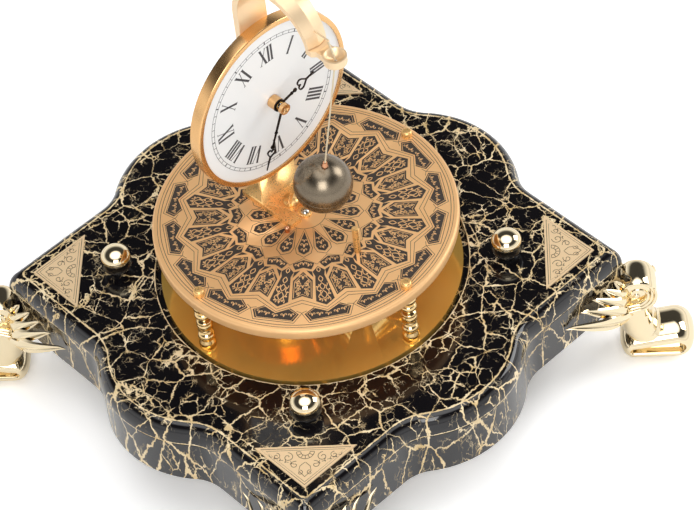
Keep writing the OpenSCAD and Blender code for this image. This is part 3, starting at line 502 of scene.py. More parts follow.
def base_rows():
    """Rings from the opening's lower edge, round the outside, down into the well.

    Each is an outline, its height, and its distance to the nearest gold edge.
    """
    edge = outline(0)
    angles = [math.atan2(y, x) for x, y in edge]
    crease = BASE_TOP - EDGE_DROP

    def round_ring(r):
        return [(r * math.cos(a), r * math.sin(a)) for a in angles]

    rows = [
        (round_ring(THROUGH_R), BASE_LOW, FAR),
        (outline(EDGE_OUT - 0.8), BASE_LOW, FAR),
        (outline(EDGE_OUT), BASE_LOW + 1, FAR),
        (outline(EDGE_OUT - WALL_BACK), crease - 6, 6.0),
        (outline(EDGE_OUT - WALL_BACK), crease - 1.2, 1.2),
        (outline(EDGE_OUT - GROOVE_BACK), crease - 0.7, 0.7),
        (outline(EDGE_OUT - GROOVE_BACK), crease - 0.3, 0.3),
    ]
    length = 1.6 * EDGE_DROP
    for i in range(BULLNOSE + 1):
        a = math.pi / 2 * i / BULLNOSE
        along = length * i / BULLNOSE
        rows.append((outline(EDGE_OUT * math.cos(a)), crease + EDGE_DROP * math.sin(a),
                     min(along, length - along)))
    return rows + [
        ([(x * TOP_SHARE, y * TOP_SHARE) for x, y in edge], BASE_TOP, 2.6),
        (round_ring(WELL_R + 3), BASE_TOP, 3.0),
        (round_ring(WELL_R), BASE_TOP, 0.0),
        (round_ring(WELL_R), BASE_TOP - 1.0, 1.0),
        (round_ring(WELL_R), WELL_FLOOR, FAR),
        (round_ring(THROUGH_R), WELL_FLOOR, FAR),
    ]


base_rings = base_rows()
verts, faces = skin([[(x, y, z) for x, y in ring] for ring, z, gap in base_rings], closed=True)
piece("lacquer_base", verts, faces, "root", LACQUER, 40, ["base_body"],
      [gap for ring, z, gap in base_rings for _ in ring])


# %% [markdown]
# Corner plates: thin pale brass triangles with a line border and scrolls cut into them. The
# cut lines are narrow dark bands that lie on the metal: two borders, a half rosette on the
# long edge, and scrolls that mirror each other about the middle. They are drawn once, with u
# from the clock's middle to the corner and v across, and turned to each corner.

# %% Lines on a corner plate
PLAQUE_TIP = 139.3
PLAQUE_HALF = 24.1
PLAQUE_FOOT = PLAQUE_TIP - PLAQUE_HALF + 3.2
CORNERS = {"fr": -45, "br": 45, "bl": 135, "fl": 225}
LINE_H = 0.05


def scroll(cx, cy, r, start, turns, n=26, hand=1):
    """A curl that winds inwards from radius r; hand is 1 or -1."""
    return [spot(r * (1 - 0.82 * i / n), start + hand * 360 * turns * i / n, cx, cy)
            for i in range(n + 1)]


def plaque_borders(line):
    for inset, width in ((1.2, 0.35), (2.3, 0.22)):
        tip = PLAQUE_TIP - inset * math.sqrt(2)
        long_edge = PLAQUE_TIP - PLAQUE_HALF + inset
        half = tip - long_edge
        line([(tip, 0), (long_edge, half), (long_edge, -half)], width, True)


def plaque_rosette(line):
    for r in (2.2, 4.2):
        line(circle(r, 18, PLAQUE_FOOT, 0, -90, 180, True), 0.26)
    for k in range(7):
        line([spot(r, -90 + 30 * k, PLAQUE_FOOT) for r in (2.3, 4.0)], 0.24)


def plaque_scrolls(line, dot, side):
    """Four curls and a stem on one side of the middle, and a row of barbs by the border."""
    foot = PLAQUE_FOOT
    line(scroll(foot + 3.0, side * 8.2, 2.7, 180, 1.25, hand=side), 0.26)
    line(scroll(foot + 2.2, side * 13.6, 1.9, 180, 1.25, hand=side), 0.24)
    line(scroll(foot + 7.6, side * 4.9, 2.2, 200 * side, 1.1, hand=-side), 0.26)
    line(scroll(foot + 12.2, side * 2.3, 1.5, 180, 1.0, hand=side), 0.24)
    line([(foot + 6.2, side * 0.2), (foot + 8.4, side * 2.4), (foot + 11.2, side * 2.9),
          (foot + 14.6, 0)], 0.24)
    for k in range(5):
        u, v = foot + 1.0 + 1.1 * k, side * (17.2 - 2.6 * k)
        line([(u, v), (u + 1.3, v - side * 0.4), (u + 1.7, v - side * 1.6)], 0.24)
        if k < 4:
            dot(u + 2.6, v - side * 2.6)


# %% Engrave the corner plates
def engrave_plaque(key, turn):
    pile = Pile()
    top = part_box("corner_plate_" + key)[1][2] / MM

    def put(u, v, z):
        return (*spin(u, v, turn), z)

    def line(path, width, closed=False):
        pile.ribbon(path, width, top, top + LINE_H, put, closed)

    def dot(u, v):
        pile.slab(circle(0.32, 8, u, v), top, top + LINE_H, put)

    plaque_borders(line)
    plaque_rosette(line)
    for side in (-1, 1):
        plaque_scrolls(line, dot, side)
    piece("plaque_lines_" + key, pile.verts, pile.faces, "root", INK, 60)


for key, turn in CORNERS.items():
    engrave_plaque(key, turn)


# %% [markdown]
# Engraved plate: sixteen petals round the middle, sixteen pointed panels round those, and a
# strap that zigzags between them, all cut out in dark ground. Each dark shape is drawn once
# on its own axis, from the middle outwards, and turned sixteen times.

# %% Dark ground shapes
FOLD = 16
STEP = 360 / FOLD
PLATE_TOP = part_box("top_plate")[1][2] / MM
INK_SINK = 0.02
INK_H = 0.04
GILT_H = 0.10
ink = Pile()
gilt = Pile()


def on_axis(angle):
    """Places a shape that was drawn up the page on the axis at this angle."""
    return lambda x, y, z: (*spin(x, y, angle - 90), z)


def both(points):
    """A closed outline from its right half, listed from the axis outwards."""
    return points + [(-x, y) for x, y in reversed(points) if abs(x) > 1e-6]


PETAL = both([(0, 12.4), (3.0, 22.4), (2.5, 25.0), (0, 26.8)])
PETAL_LINE = both([(0, 10.4), (4.1, 22.6), (3.6, 26.0), (0, 28.6)])
KEY = both([(0, 30.4), (5.1, 32.5), (4.8, 34.2), (3.9, 36.4), (0, 35.2)])
PANEL = both([(0, 37.9), (4.7, 43.3), (4.9, 55.1), (0, 53.1)])
BETWEEN = both([(0, 35.2), (3.0, 38.2), (2.2, 41.2), (3.0, 46.0), (4.5, 56.8), (0, 60.0)])
SIDE_CELL = [(1.5, 37.0), (4.3, 37.8), (5.0, 41.4)]
OUTER = both([(0, 63.9), (6.4, 60.3), (11.2, 63.3), (9.3, 68.0)])


def ink_slab(shape, put):
    ink.slab(shape, PLATE_TOP - INK_SINK, PLATE_TOP + INK_H, put)


def ink_line(path, width, put=as_drawn, closed=False):
    ink.ribbon(path, width, PLATE_TOP - INK_SINK, PLATE_TOP + INK_H, put, closed)


def dark_ground(put, put_between):
    for shape in (PETAL, KEY, PANEL):
        ink_slab(shape, put)
    for shape in (BETWEEN, OUTER):
        ink_slab(shape, put_between)
    for side in (-1, 1):
        ink_slab([(side * x, y) for x, y in SIDE_CELL][::side], put)
    ink_line(PETAL_LINE, 0.28, put, True)


# %% [markdown]
# Gilt scrolls: inside the dark ground the metal is left standing as sprigs, vines and seed
# pods. Three small drawings make all of them, at different sizes and turns.

# %% Gilt scroll shapes
LEAF = [(0, 0), (0.55, 0.5), (0.35, 1.2), (0, 1.9), (-0.35, 1.2), (-0.55, 0.5)]
VINE_STEPS = 16


def gilt_slab(shape, put):
    gilt.slab(shape, PLATE_TOP, PLATE_TOP + GILT_H, put)


def gilt_line(path, width, put, closed=False):
    gilt.ribbon(path, width, PLATE_TOP, PLATE_TOP + GILT_H, put, closed)


def sprig(put, x, y, size=1.0, turn=0.0):
    """A small leaf with a scroll on each side."""
    def place(points):
        turned = (spin(px, py, turn) for px, py in points)
        return [(x + size * px, y + size * py) for px, py in turned]

    gilt_slab(place(LEAF), put)
    for side in (-1, 1):
        curl = scroll(side * 1.15, 0.1, 0.85, 90 + side * 60, 0.95, 9, side)
        gilt_line(place(curl), 0.34 * size, put)


def almond(put, y, wide):
    """A pointed oval ring on the axis, as seed pods are drawn."""
    right_half = [(wide * math.sin(math.pi * t / 8), y + 1.9 * wide * (t / 4 - 1))
                  for t in range(9)]
    gilt_line(both(right_half), 0.42, put, True)


def vine(put, x, start, end, swing):
    """A wavy stem with round leaves in its bends."""
    heights = [start + (end - start) * i / VINE_STEPS for i in range(VINE_STEPS + 1)]
    path = [(x + swing * math.sin(1.3 * y), y) for y in heights]
    gilt_line(path, 0.42, put)
    for px, py in path[2::4]:
        gilt_slab(circle(0.5, 7, px + math.copysign(0.9, x - px + 1e-6), py), put)


def shrink(points, by):
    """An outline with every point moved towards its middle."""
    cx = sum(x for x, y in points) / len(points)
    cy = sum(y for x, y in points) / len(points)
    out = []
    for x, y in points:
        d = math.hypot(x - cx, y - cy)
        f = max(d - by, 0.1) / d
        out.append((cx + (x - cx) * f, cy + (y - cy) * f))
    return out


# %% Gilt scrolls in one sixteenth
def gilt_in_panels(put):
    """Sprigs up the petal, across the key cell and beside the panel's two vines."""
    gilt_line(shrink(PANEL, 1.1), 0.3, put, True)
    for y, size in ((17.6, 0.75), (20.4, 1.1), (23.6, 0.9), (32.2, 0.9), (40.6, 1.15),
                    (46.6, 0.9)):
        sprig(put, 0, y, size)
    for side in (-1, 1):
        sprig(put, side * 2.7, 33.1, 0.9, side * 20)
        vine(put, side * 2.3, 42.6, 53.2, 0.75)
        for y in (44.8, 48.2, 50.6):
            sprig(put, side * 2.2, y, 0.85, side * -25)


def gilt_between(put):
    """Seed pods and vines in the long cell, and a row of sprigs in the outer one."""
    gilt_line(shrink(OUTER, 0.9), 0.28, put, True)
    for y in (37.4, 43.4, 48.2, 53.4):
        almond(put, y, 0.03 * y - 0.3)
    sprig(put, 0, 56.4, 0.95)
    sprig(put, 0, 65.2, 0.85, -12)
    for side in (-1, 1):
        vine(put, side * 2.1, 46.6, 57.6, 0.6 + 0.1 * side)
        sprig(put, side * 4.1, 64.4, 0.9, side * -12)
        sprig(put, side * 7.6, 63.9, 0.85, side * -12)


# %% [markdown]
# Straps: fine dark lines run beside the zigzag bands and round the rim. A zigzag is one
# closed path whose points alternate between two radii.

# %% Strap lines
ZIGZAGS = ((29.3, 33.9, 0.22), (55.5, 61.6, 0.26), (57.6, 63.2, 0.26))
ROUND_LINES = ((10.2, 0.22), (70.9, 0.28), (72.3, 0.2))


def strap_lines():
    for inner, outer, width in ZIGZAGS:
        path = []
        for k in range(FOLD):
            path += [spot(inner, -90 + k * STEP), spot(outer, -90 + (k + 0.5) * STEP)]
        ink_line(path, width, closed=True)
    for k in range(FOLD):
        put = on_axis(-90 + (k + 0.5) * STEP)
        for side in (-1, 1):
            ink_line([(side * 9.9, 69.0), (side * 12.6, 62.2), (side * 14.6, 60.6)], 0.24, put)
        ink_line([(-9.9, 69.0), (9.9, 69.0)], 0.26, put)
    for r, width in ROUND_LINES:
        ink_line(circle(r, 240), width, closed=True)


# %% Engrave the plate
for k in range(FOLD):
    put, put_between = on_axis(-90 + k * STEP), on_axis(-90 + (k + 0.5) * STEP)
    dark_ground(put, put_between)
    gilt_in_panels(put)
    gilt_between(put_between)
strap_lines()
piece("engraving_ground", ink.verts, ink.faces, "root", INK, 60)
piece("engraving_scrolls", gilt.verts, gilt.faces, "root", PLATE_GILT, 60)


# %% [markdown]
# Dial: white enamel with Roman numerals that point outwards. A numeral is made of thick and
# thin strokes with a small foot at each end, as a sign painter would draw it, and is set
# round the dial by turning.

# %% Strokes and letters
dial_low, dial_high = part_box("dial_plate")
bezel_low, bezel_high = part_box("bezel")
DIAL_FACE_Y = dial_low[1] / MM
DIAL_Z = (bezel_low[2] + bezel_high[2]) / 2 / MM
NUMERAL_R = 29.6
NUMERAL_H = 9.6
PRINT_H = 0.05
THICK = 1.15
THIN = 0.32
FOOT_THICK = 0.26
FOOT_WIDE = 1.7
FOOT_NARROW = 1.2
FOOT_OF_I = 1.6
LETTER_WIDE = {"I": 1.9, "V": 4.6, "X": 4.8}
printing = Pile()


def on_dial(x, z, height):
    return (x, DIAL_FACE_Y - height, DIAL_Z + z)


def stroke(a, b, width, turn):
    """A straight stroke, drawn at twelve o'clock and turned clockwise."""
    printing.ribbon([spin(x, y, -turn) for x, y in (a, b)], width, 0, PRINT_H, on_dial)


def letter(which, x, turn):
    top = NUMERAL_R + NUMERAL_H / 2
    foot = NUMERAL_R - NUMERAL_H / 2
    if which == "I":
        stroke((x, foot), (x, top), THICK, turn)
        ends = ((x, foot, FOOT_OF_I), (x, top, FOOT_OF_I))
    elif which == "V":
        stroke((x - 1.5, top), (x + 0.1, foot), THICK, turn)
        stroke((x + 1.6, top), (x + 0.1, foot), THIN, turn)
        ends = ((x - 1.5, top, FOOT_WIDE), (x + 1.6, top, FOOT_NARROW))
    else:
        stroke((x - 1.6, top), (x + 1.6, foot), THICK, turn)
        stroke((x + 1.6, top), (x - 1.6, foot), THIN, turn)
        ends = ((x - 1.6, top, FOOT_WIDE), (x + 1.6, top, FOOT_NARROW),
                (x + 1.6, foot, FOOT_WIDE), (x - 1.6, foot, FOOT_NARROW))
    for end_x, end_y, wide in ends:
        stroke((end_x - wide / 2, end_y), (end_x + wide / 2, end_y), FOOT_THICK, turn)


# %% [markdown]
# Round the numerals runs a minute track: two thin rings, a tick for each minute and a bolder
# one at each hour.

# %% Dial printing
NUMERALS = ["XII", "I", "II", "III", "IIII", "V", "VI", "VII", "VIII", "IX", "X", "XI"]
TRACK_OUT = 38.1
TRACK_IN = 36.5
TRACK_LINE = 0.2
HOUR_TICK = 0.62
MINUTE_TICK = 0.26

for hour, text in enumerate(NUMERALS):
    x = -sum(LETTER_WIDE[ch] for ch in text) / 2
    for ch in text:
        letter(ch, x + LETTER_WIDE[ch] / 2, 30 * hour)
        x += LETTER_WIDE[ch]
for r in (TRACK_OUT, TRACK_IN):
    printing.ribbon(circle(r, 180), TRACK_LINE, 0, PRINT_H, on_dial, True)
for minute in range(60):
    tick = HOUR_TICK if minute % 5 == 0 else MINUTE_TICK
    stroke((0, TRACK_IN), (0, TRACK_OUT), tick, 6 * minute)
piece("dial_printing", printing.verts, printing.faces, "root", PRINT, 60)


# %% [markdown]
# Hands: dark steel, cut out with a pierced heart near the tip. Each hand is a tapering shaft,
# an open heart made of one band, and a fine point, all flat, and stands where its solid does.
# The heart is the well-known curve of sines and cosines.

# %% Hands
HEART_POINTS = 48
HEART_LINE = 0.62
BOSS_LINE = 1.3
KNOT_R = 0.9


def heart_outline(middle, r):
    points = []
    for i in range(HEART_POINTS):
        t = 2 * math.pi * i / HEART_POINTS
        wave = 13 * math.cos(t) - 5 * math.cos(2 * t) - 2 * math.cos(3 * t) - math.cos(4 * t)
        points.append((r * math.sin(t) ** 3, middle - r * wave / 16))
    return points


def cut_hand(name, node, body, length, heart_at, heart_r, angle, bore):
    node_low, node_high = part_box(node)
    near, far = node_low[1] / MM, node_high[1] / MM
    knot = heart_at * 0.55
    pile = Pile()

    def put(x, y, depth):
        across, rise = spin(x, y, -angle)
        return (across, depth, DIAL_Z + rise)

    def cut(path, width, closed=False):
        pile.ribbon(path, width, near, far, put, closed)

    cut(circle(bore + BOSS_LINE / 2, 40), BOSS_LINE, True)
    cut([(0, bore + 1.0), (0, knot), (0, heart_at - heart_r * 1.25)],
        lambda t: 1.25 - 0.65 * t)
    pile.slab(circle(KNOT_R, 16, 0, knot), near, far, put)
    cut(circle(KNOT_R, 24, 0, heart_at - heart_r * 1.45), 0.5, True)
    cut(heart_outline(heart_at, heart_r), HEART_LINE, True)
    cut([(0, heart_at + heart_r * 0.9), (0, heart_at + heart_r * 1.9), (0, length)],
        lambda t: 0.95 - 0.7 * t)
    piece(name, pile.verts, pile.faces, body, BLUED, 50, [node])


cut_hand("hour_hand_cut", "hour_hand", "hour_works", 23.5, 15.4, 3.3, 77, 2.0)
cut_hand("minute_hand_cut", "minute_hand", "minute_works", 35.0, 25.4, 2.4, 204, 1.2)


# %% [markdown]
# Feet: a cast scroll. It is drawn in the plane through the corner, with u from the clock's
# middle outwards, v across and z up. The lower roll lies on the table like a bun with a slot
# in each end. It is a skin through sections that shrink towards each end and then sink in.

# %% Lower roll
WALL = (BASE_HALF + EDGE_OUT) * math.sqrt(2) - TIP_R * (math.sqrt(2) - 1) - 1.7
PAD_T = 1.2
ROLL_R = 10.8
ROLL_IN_R = 8.8
ROLL_LEN = 18.0
ROLL_U = WALL + 27
foot = Pile()


def roll_section(inset):
    """The roll's outline, a bean of two half circles, made smaller by inset."""
    spread = 0.3 * inset
    outer = circle(ROLL_R - inset, 24, ROLL_U + spread, PAD_T + ROLL_R, -90, 180, True)
    inner = circle(ROLL_IN_R - inset, 24, ROLL_U - ROLL_LEN - spread, PAD_T + ROLL_IN_R,
                   90, 180, True)
    return outer + inner


def foot_roll():
    end = [(2 + 10 * math.sin(math.radians(a)), 6.6 * (1 - math.cos(math.radians(a))))
           for a in range(0, 91, 9)]
    end += [(11.6, 7.1), (10.5, 7.3), (8.0, 7.5)]
    stations = [(-v, inset) for v, inset in reversed(end)] + end
    foot.add(*skin([[(u, v, z) for u, z in roll_section(inset)] for v, inset in stations]))


foot_roll()
print("roll:", len(foot.verts), "points")


# %% [markdown]
# Volute and leg: a volute curls up outside the corner, and a leg joins it to the roll. Both
# are rounded bands along a path, and the volute's path is a spiral about its eye. Round rods
# follow the volute's sides and run on into the leaves, thin at both ends so that no cut end
# shows.

# %% Bands and rods
def band(path, half_width, thick):
    """A rounded band along a path in the corner's plane."""
    rings = []
    n = len(path)
    for i, (u, z) in enumerate(path):
        a, b = path[max(i - 1, 0)], path[min(i + 1, n - 1)]
        du, dz = b[0] - a[0], b[1] - a[1]
        size = math.hypot(du, dz)
        normal_u, normal_z = dz / size, -du / size
        t = i / (n - 1)
        w = half_width(t)
        h = thick(t) / 2
        ring = []
        for k in range(24):
            q = 2 * math.pi * k / 24
            side = math.copysign(abs(math.cos(q)) ** 0.7, math.cos(q))
            lift = math.copysign(abs(math.sin(q)) ** 0.8, math.sin(q))
            ring.append((u + normal_u * h * lift, w * side, z + normal_z * h * lift))
        rings.append(ring)
    foot.add(*skin(rings))


def rod(path, radius, sides=10):
    """A round rod along a path in space; radius may change along it."""
    rings = []
    n = len(path)
    for i, p in enumerate(path):
        along = (Vector(path[min(i + 1, n - 1)]) - Vector(path[max(i - 1, 0)])).normalized()
        across = along.cross(Vector((0, 1, 0.01))).normalized()
        other = along.cross(across)
        rings.append([tuple(Vector(p) + (across * x + other * y))
                      for x, y in circle(radius(i / (n - 1)), sides)])
    foot.add(*skin(rings))


# %% Volute and its ribs
VOLUTE_R = 11.3
VOLUTE_TURNS = 2.2
VOLUTE_STEPS = 90
EYE_U = 159.6
EYE_Z = BASE_LOW + 12.6
EYE_HALF = [(6.8, 8.6), (8.6, 1.7), (9.5, 1.3), (9.8, 0.4)]
# Each rib's radius about the eye, and where it ends from there
RIBS = ((9.6, -9.0, -13.0), (7.7, -9.8, -10.4), (5.8, -10.4, -7.8))


def foot_volute():
    path = []
    for i in range(VOLUTE_STEPS + 1):
        t = i / VOLUTE_STEPS
        r = (VOLUTE_R - 2.2) * (1 - t) ** 0.75 + 0.9
        path.append(spot(r, -150 + 360 * VOLUTE_TURNS * t, EYE_U, EYE_Z))
    band(path, lambda t: 7.8 + 1.2 * t, lambda t: 4.4 - 3.0 * t ** 0.6)
    core = [(-v, r) for v, r in reversed(EYE_HALF)] + EYE_HALF
    foot.add(*skin([[(EYE_U + x, v, EYE_Z + y) for x, y in circle(r, 32)] for v, r in core]))


def foot_ribs(hand):
    for r, end_u, end_z in RIBS:
        path = []
        for i in range(15):
            u, z = spot(r, 24 - 104 * i / 14, EYE_U, EYE_Z)
            path.append((u, hand * (7.6 + 2.0 * i / 14), z))
        path.append((EYE_U + end_u * 0.55, hand * 10.2, EYE_Z + (end_z - r) / 2))
        path.append((EYE_U + end_u, hand * 12.0, EYE_Z + end_z))
        rod(path, lambda t: 0.1 + 1.1 * math.sin(math.pi * min(0.01 + 0.9 * t, 1)) ** 0.6)


foot_volute()
foot_ribs(-1)
foot_ribs(1)
print("roll and volute:", len(foot.verts), "points")

# %% Neck and leg
NECK = [(WALL - 20, BASE_LOW - 2.2), (WALL - 9, BASE_LOW - 2.4), (WALL + 3, BASE_LOW - 2.0)]
LEG = [(EYE_U + u, EYE_Z + z) for u, z in
       ((-1.5, -5), (-2.0, -12), (-1.2, -19), (0.6, -26), (3.6, -32), (7.0, -36))]
LEG_STEPS = 6


def foot_leg():
    band(NECK, lambda t: 7.5, lambda t: 3.6)
    path = []
    for (u, z), (next_u, next_z) in zip(LEG, LEG[1:]):
        for k in range(LEG_STEPS):
            t = k / LEG_STEPS
            path.append((u * (1 - t) + next_u * t, z * (1 - t) + next_z * t))
    band(path + LEG[-1:], lambda t: 9.2 + 1.8 * t, lambda t: 14.0 + 4.0 * t)


foot_leg()
print("with neck and leg:", len(foot.verts), "points")


# %% [markdown]
# Leaves: five pointed leaves spread from the volute along each wall of the base. Every leaf is
# the same ridged blade between a root and a tip, bowed away from the wall, and only its size
# and place change.

# %% Leaves
LEAF_STEPS = 20
LEAF_SECTION = ((-1, 0), (-0.8, 0.5), (-0.5, 0.45), (-0.2, 0.62), (0, 1.0), (0.2, 0.62),
                (0.5, 0.45), (0.8, 0.5), (1, 0), (0.5, -0.3), (-0.5, -0.3))
# Root and tip (along the wall, up, out), bow, width and ridge
LEAVES = (
    ((-5.5, 8.0, 1.4), (3.0, 22.5, 0.9), 3.0, 3.4, 2.1),
    ((-6.0, 5.5, 2.4), (11.0, 22.5, 0.9), 4.0, 4.1, 2.5),
    ((-6.5, 3.0, 3.4), (18.5, 21.5, 0.9), 4.8, 4.5, 2.8),
    ((-7.0, 0.2, 4.2), (27.0, 19.5, 0.9), 5.2, 4.8, 3.0),
    ((-7.5, -3.0, 4.8), (38.0, 16.0, 0.9), 5.4, 4.9, 3.1),
)


def on_wall(hand, along, rise, out):
    """From (along the wall, up, out from it) to the foot's own u, v and z."""
    u, v = spin(BASE_HALF + EDGE_OUT + out, hand * (BASE_HALF - along), -45 * hand)
    return (u, v, BASE_LOW + rise)


def blade(hand, root, tip, bow, width, ridge):
    """A pointed leaf from root to tip, with a ridge down its middle and raised sides."""
    rings = []
    da, dz = tip[0] - root[0], tip[1] - root[1]
    size = math.hypot(da, dz)
    side_a, side_z = -dz / size, da / size
    for i in range(LEAF_STEPS + 1):
        t = i / LEAF_STEPS
        along, rise, out = (a * (1 - t) + b * t for a, b in zip(root, tip))
        out += bow * math.sin(math.pi * min(t * 1.1, 1))
        swell = 0.8 + 0.2 * math.sin(math.pi * min(t / 0.6, 1))
        point = 1 if t < 0.5 else 1 - ((t - 0.5) / 0.5) ** 1.5
        w = width * swell * point + 0.06
        h = ridge * (1 - t) ** 0.5 + 0.12
        rings.append([on_wall(hand, along + side_a * w * side, rise + side_z * w * side,
                              out + h * lift) for side, lift in LEAF_SECTION])
    foot.add(*skin(rings))


for hand in (-1, 1):
    for leaf in LEAVES:
        blade(hand, *leaf)

# %% [markdown]
# The foot is finished, so it is copied to the four corners. Each copy is its own mesh, turned
# to its corner.

# %% Four feet
for key, turn in CORNERS.items():
    piece("scroll_foot_" + key, [(*spin(x, y, turn), z) for x, y, z in foot.verts], foot.faces,
          "root", CHAMPAGNE, 50, ["foot_" + key])


# %% [markdown]
# Balls: the four knobs and the bob are turned balls, so they start as Blender's own sphere.
# A knob is squashed to the height of its solid. The new ball is the only thing selected, and
# its place is applied to its mesh at the end, as every finished piece here has its object at
# the origin.

# %% Knobs
KNOB_R = 7.5
BALL_RINGS = 48


def add_ball(name, centre, r, segments=64, tilt=0.0):
    """A ball in millimetres with its poles upright, or tilted towards the front."""
    bpy.ops.object.select_all(action="DESELECT")
    bpy.ops.mesh.primitive_uv_sphere_add(segments=segments, ring_count=BALL_RINGS,
                                         radius=r * MM, location=Vector(centre) * MM,
                                         rotation=(tilt, 0, 0))
    obj = bpy.context.object
    obj.name = obj.data.name = name
    return obj


def settle(obj):
    """Apply the object's place and turn to its mesh."""
    bpy.ops.object.transform_apply(location=True, rotation=True, scale=True)
    print(obj.name + ":", len(obj.data.vertices), "points")


for key in CORNERS:
    node_low, node_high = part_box("knob_" + key)
    centre = [(a + b) / 2 / MM for a, b in zip(node_low, node_high)]
    squash = (node_high[2] - node_low[2]) / 2 / MM / KNOB_R
    knob = add_ball("ball_knob_" + key, centre, KNOB_R)
    bpy.ops.object.mode_set(mode="EDIT")
    bpy.ops.transform.resize(value=(1, 1, squash), center_override=Vector(centre) * MM)
    bpy.ops.object.mode_set(mode="OBJECT")
    settle(knob)
    dress(knob, "root", CHAMPAGNE, 60, ["knob_" + key])

# %% [markdown]
# The bob is two halves that meet in a fine groove round the middle, square to the leaning
# thread. The ball's middle edge loop is bevelled into a narrow band, and the band is inset
# and sunk.

# %% Bob
BOB_R = 14.3
THREAD_LEAN = math.radians(11.7)
GROOVE_HALF = 0.315
GROOVE_WALL = 0.2
GROOVE_DEEP = 0.12
node_low, node_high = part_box("pendulum_ball")
bob_at = [(a + b) / 2 / MM for a, b in zip(node_low, node_high)]
bob_at[2] = node_low[2] / MM + BOB_R


def pick_middle(obj, mode):
    """Select the edges or faces that lie on the ball's middle circle."""
    bpy.ops.mesh.select_all(action="DESELECT")
    bpy.ops.mesh.select_mode(type=mode)
    work = bmesh.from_edit_mesh(obj.data)
    parts = work.edges if mode == "EDGE" else work.faces
    for part in parts:
        middle = sum(v.co.z for v in part.verts) / len(part.verts)
        level = mode == "FACE" or abs(part.verts[0].co.z - part.verts[1].co.z) < 1e-6
        part.select_set(level and abs(middle) < 1e-6)
    bmesh.update_edit_mesh(obj.data)


bob = add_ball("bob", bob_at, BOB_R, 96, THREAD_LEAN)
bpy.ops.object.mode_set(mode="EDIT")
pick_middle(bob, "EDGE")
bpy.ops.mesh.bevel(offset=GROOVE_HALF * MM, segments=1, affect="EDGES")
pick_middle(bob, "FACE")
bpy.ops.mesh.inset(thickness=GROOVE_WALL * MM, depth=-GROOVE_DEEP * MM)
bpy.ops.object.mode_set(mode="OBJECT")
settle(bob)
dress(bob, "pendulum", BALL_STEEL, 60, ["pendulum_ball"])

# %% [markdown]
# The other solids already have the right shape, so they only get a smooth copy: their loose
# triangles are joined, and shading is smoothed wherever two faces nearly line up. A solid's
# finish goes by its slot, and a few solids that are warmer or paler in the light have a
# finish of their own.

# %% Finishes of the solids
FINISH = {
    "mirror_brass": MIRROR_BRASS, "engraved_gilt": PLATE_GILT, "satin_gilt": SATIN_GILT,
    "copper": COPPER, "thread": THREAD, "white_enamel": ENAMEL, "wheel_brass": WHEEL_BRASS,
    "spring_steel": SPRING_STEEL, "steel": STEEL, "felt": FELT, "pale_brass": PALE_BRASS,
    "black_lacquer": BLACK,
}
SPECIAL = {
    "bezel": BEZEL_GILT, "dial_back": BEZEL_GILT, "standard": ARCH_GILT,
    "suspension_collar": ARCH_GILT, "thread_peg": ARCH_GILT, "minute_hub": HUB_COPPER,
    "hour_collet": HUB_COPPER, "pillar_front": PILLAR_BRASS, "pillar_back": PILLAR_BRASS,
    "pillar_left": PILLAR_BRASS, "pillar_right": PILLAR_BRASS,
}
REPLACED = {"base_body", "hour_hand", "minute_hand", "pendulum_ball"}
REPLACED |= {part + key for part in ("foot_", "knob_") for key in CORNERS}

# %% Refinished solids
bodies = frame["record"]["behaviour"]["bodies"]
node_body = {node: body for body, nodes in bodies.items() for node in nodes}
node_slot = {part["node"]: part["material_slot"] for part in frame["record"]["subparts"]}


def refinish(node):
    mesh = frame["nodes"][node].data.copy()
    weld(mesh, 2e-6, outwards=False)
    copy = bpy.data.objects.new(node + "_smooth", mesh)
    bpy.context.scene.collection.objects.link(copy)
    material = SPECIAL[node] if node in SPECIAL else FINISH[node_slot[node]]
    dress(copy, node_body[node], material, 28, [node])


kept = [node for node in frame["nodes"] if node not in REPLACED]
for node in kept:
    refinish(node)
print("refinished:", len(kept), "solids")


# %% [markdown]
# Studio: the table is a wide white floor. The camera sees it as pure white, and so, in part,
# do reflections, while the clock is lit by a greyer one. The floor stays in the picture so
# that the clock throws a shadow on it.

# %% Floor
FLOOR_SIZE = 8
FLOOR_LIT = (0.72, 0.72, 0.72)
FLOOR_SEEN = (1.35, 1.35, 1.35)
MIRRORED_SHARE = 0.45


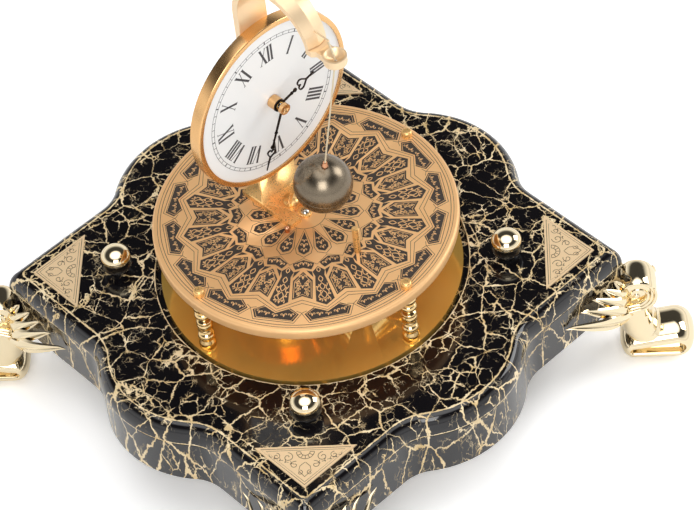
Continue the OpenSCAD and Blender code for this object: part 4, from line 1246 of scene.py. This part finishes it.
def make_floor():
    r = Recipe("studio_floor")
    seen = r.add("LightPath", out="Is Camera Ray")
    mirrored = r.add("LightPath", out="Is Glossy Ray")
    share = r.math("ADD", seen, r.math("MULTIPLY", mirrored, MIRRORED_SHARE))
    r.finish(r.blend(share, FLOOR_LIT, FLOOR_SEEN), 0.0, 0.9)
    bpy.ops.object.select_all(action="DESELECT")
    bpy.ops.mesh.primitive_plane_add(size=FLOOR_SIZE, location=(0, 0, 0))
    floor = bpy.context.object
    floor.name = "floor"
    floor.data.materials.append(r.material)


make_floor()


# %% [markdown]
# Metal needs dark as well as light to look like metal, so the sky that only reflections and
# light see is bright low down and overhead and dark between. The camera sees it white.

# %% Sky
SKY = ((0.0, 0.85), (0.22, 1.1), (0.42, 0.6), (0.56, 0.06), (0.84, 0.05), (0.92, 1.9),
       (1.0, 2.2))


def make_sky():
    world = bpy.data.worlds.new("studio")
    bpy.context.scene.world = world
    world.use_nodes = True
    nodes, links = world.node_tree.nodes, world.node_tree.links
    coord = nodes.new("ShaderNodeTexCoord")
    split = nodes.new("ShaderNodeSeparateXYZ")
    ramp = nodes.new("ShaderNodeValToRGB")
    links.new(coord.outputs["Generated"], split.inputs[0])
    links.new(split.outputs["Z"], ramp.inputs[0])
    elements = ramp.color_ramp.elements
    while len(elements) < len(SKY):
        elements.new(0.5)
    for element, (at, value) in zip(elements, SKY):
        element.position = at
        element.color = (value, value, value, 1)
    path = nodes.new("ShaderNodeLightPath")
    mix = nodes.new("ShaderNodeMix")
    mix.data_type = "RGBA"
    links.new(path.outputs["Is Camera Ray"], mix.inputs[0])
    links.new(ramp.outputs[0], mix.inputs[6])
    mix.inputs[7].default_value = (1, 1, 1, 1)
    links.new(mix.outputs[2], nodes["Background"].inputs[0])


make_sky()

# %% [markdown]
# Two soft square lamps stand in front, a key light on the left and a weaker fill on the
# right. Both face the movement.

# %% Lamps
LOOK_AT = Vector((0, 0, 0.08))


def soft_light(name, at, size, power):
    data = bpy.data.lights.new(name, "AREA")
    data.size = size
    data.energy = power
    lamp = bpy.data.objects.new(name, data)
    lamp.location = at
    lamp.rotation_euler = (LOOK_AT - Vector(at)).to_track_quat("-Z", "Y").to_euler()
    bpy.context.scene.collection.objects.link(lamp)
    print(name, "lamp:", power, "W")


soft_light("key", (-0.9, -1.0, 1.2), 0.9, 14.0)
soft_light("fill", (1.2, -0.5, 0.9), 0.7, 7.0)
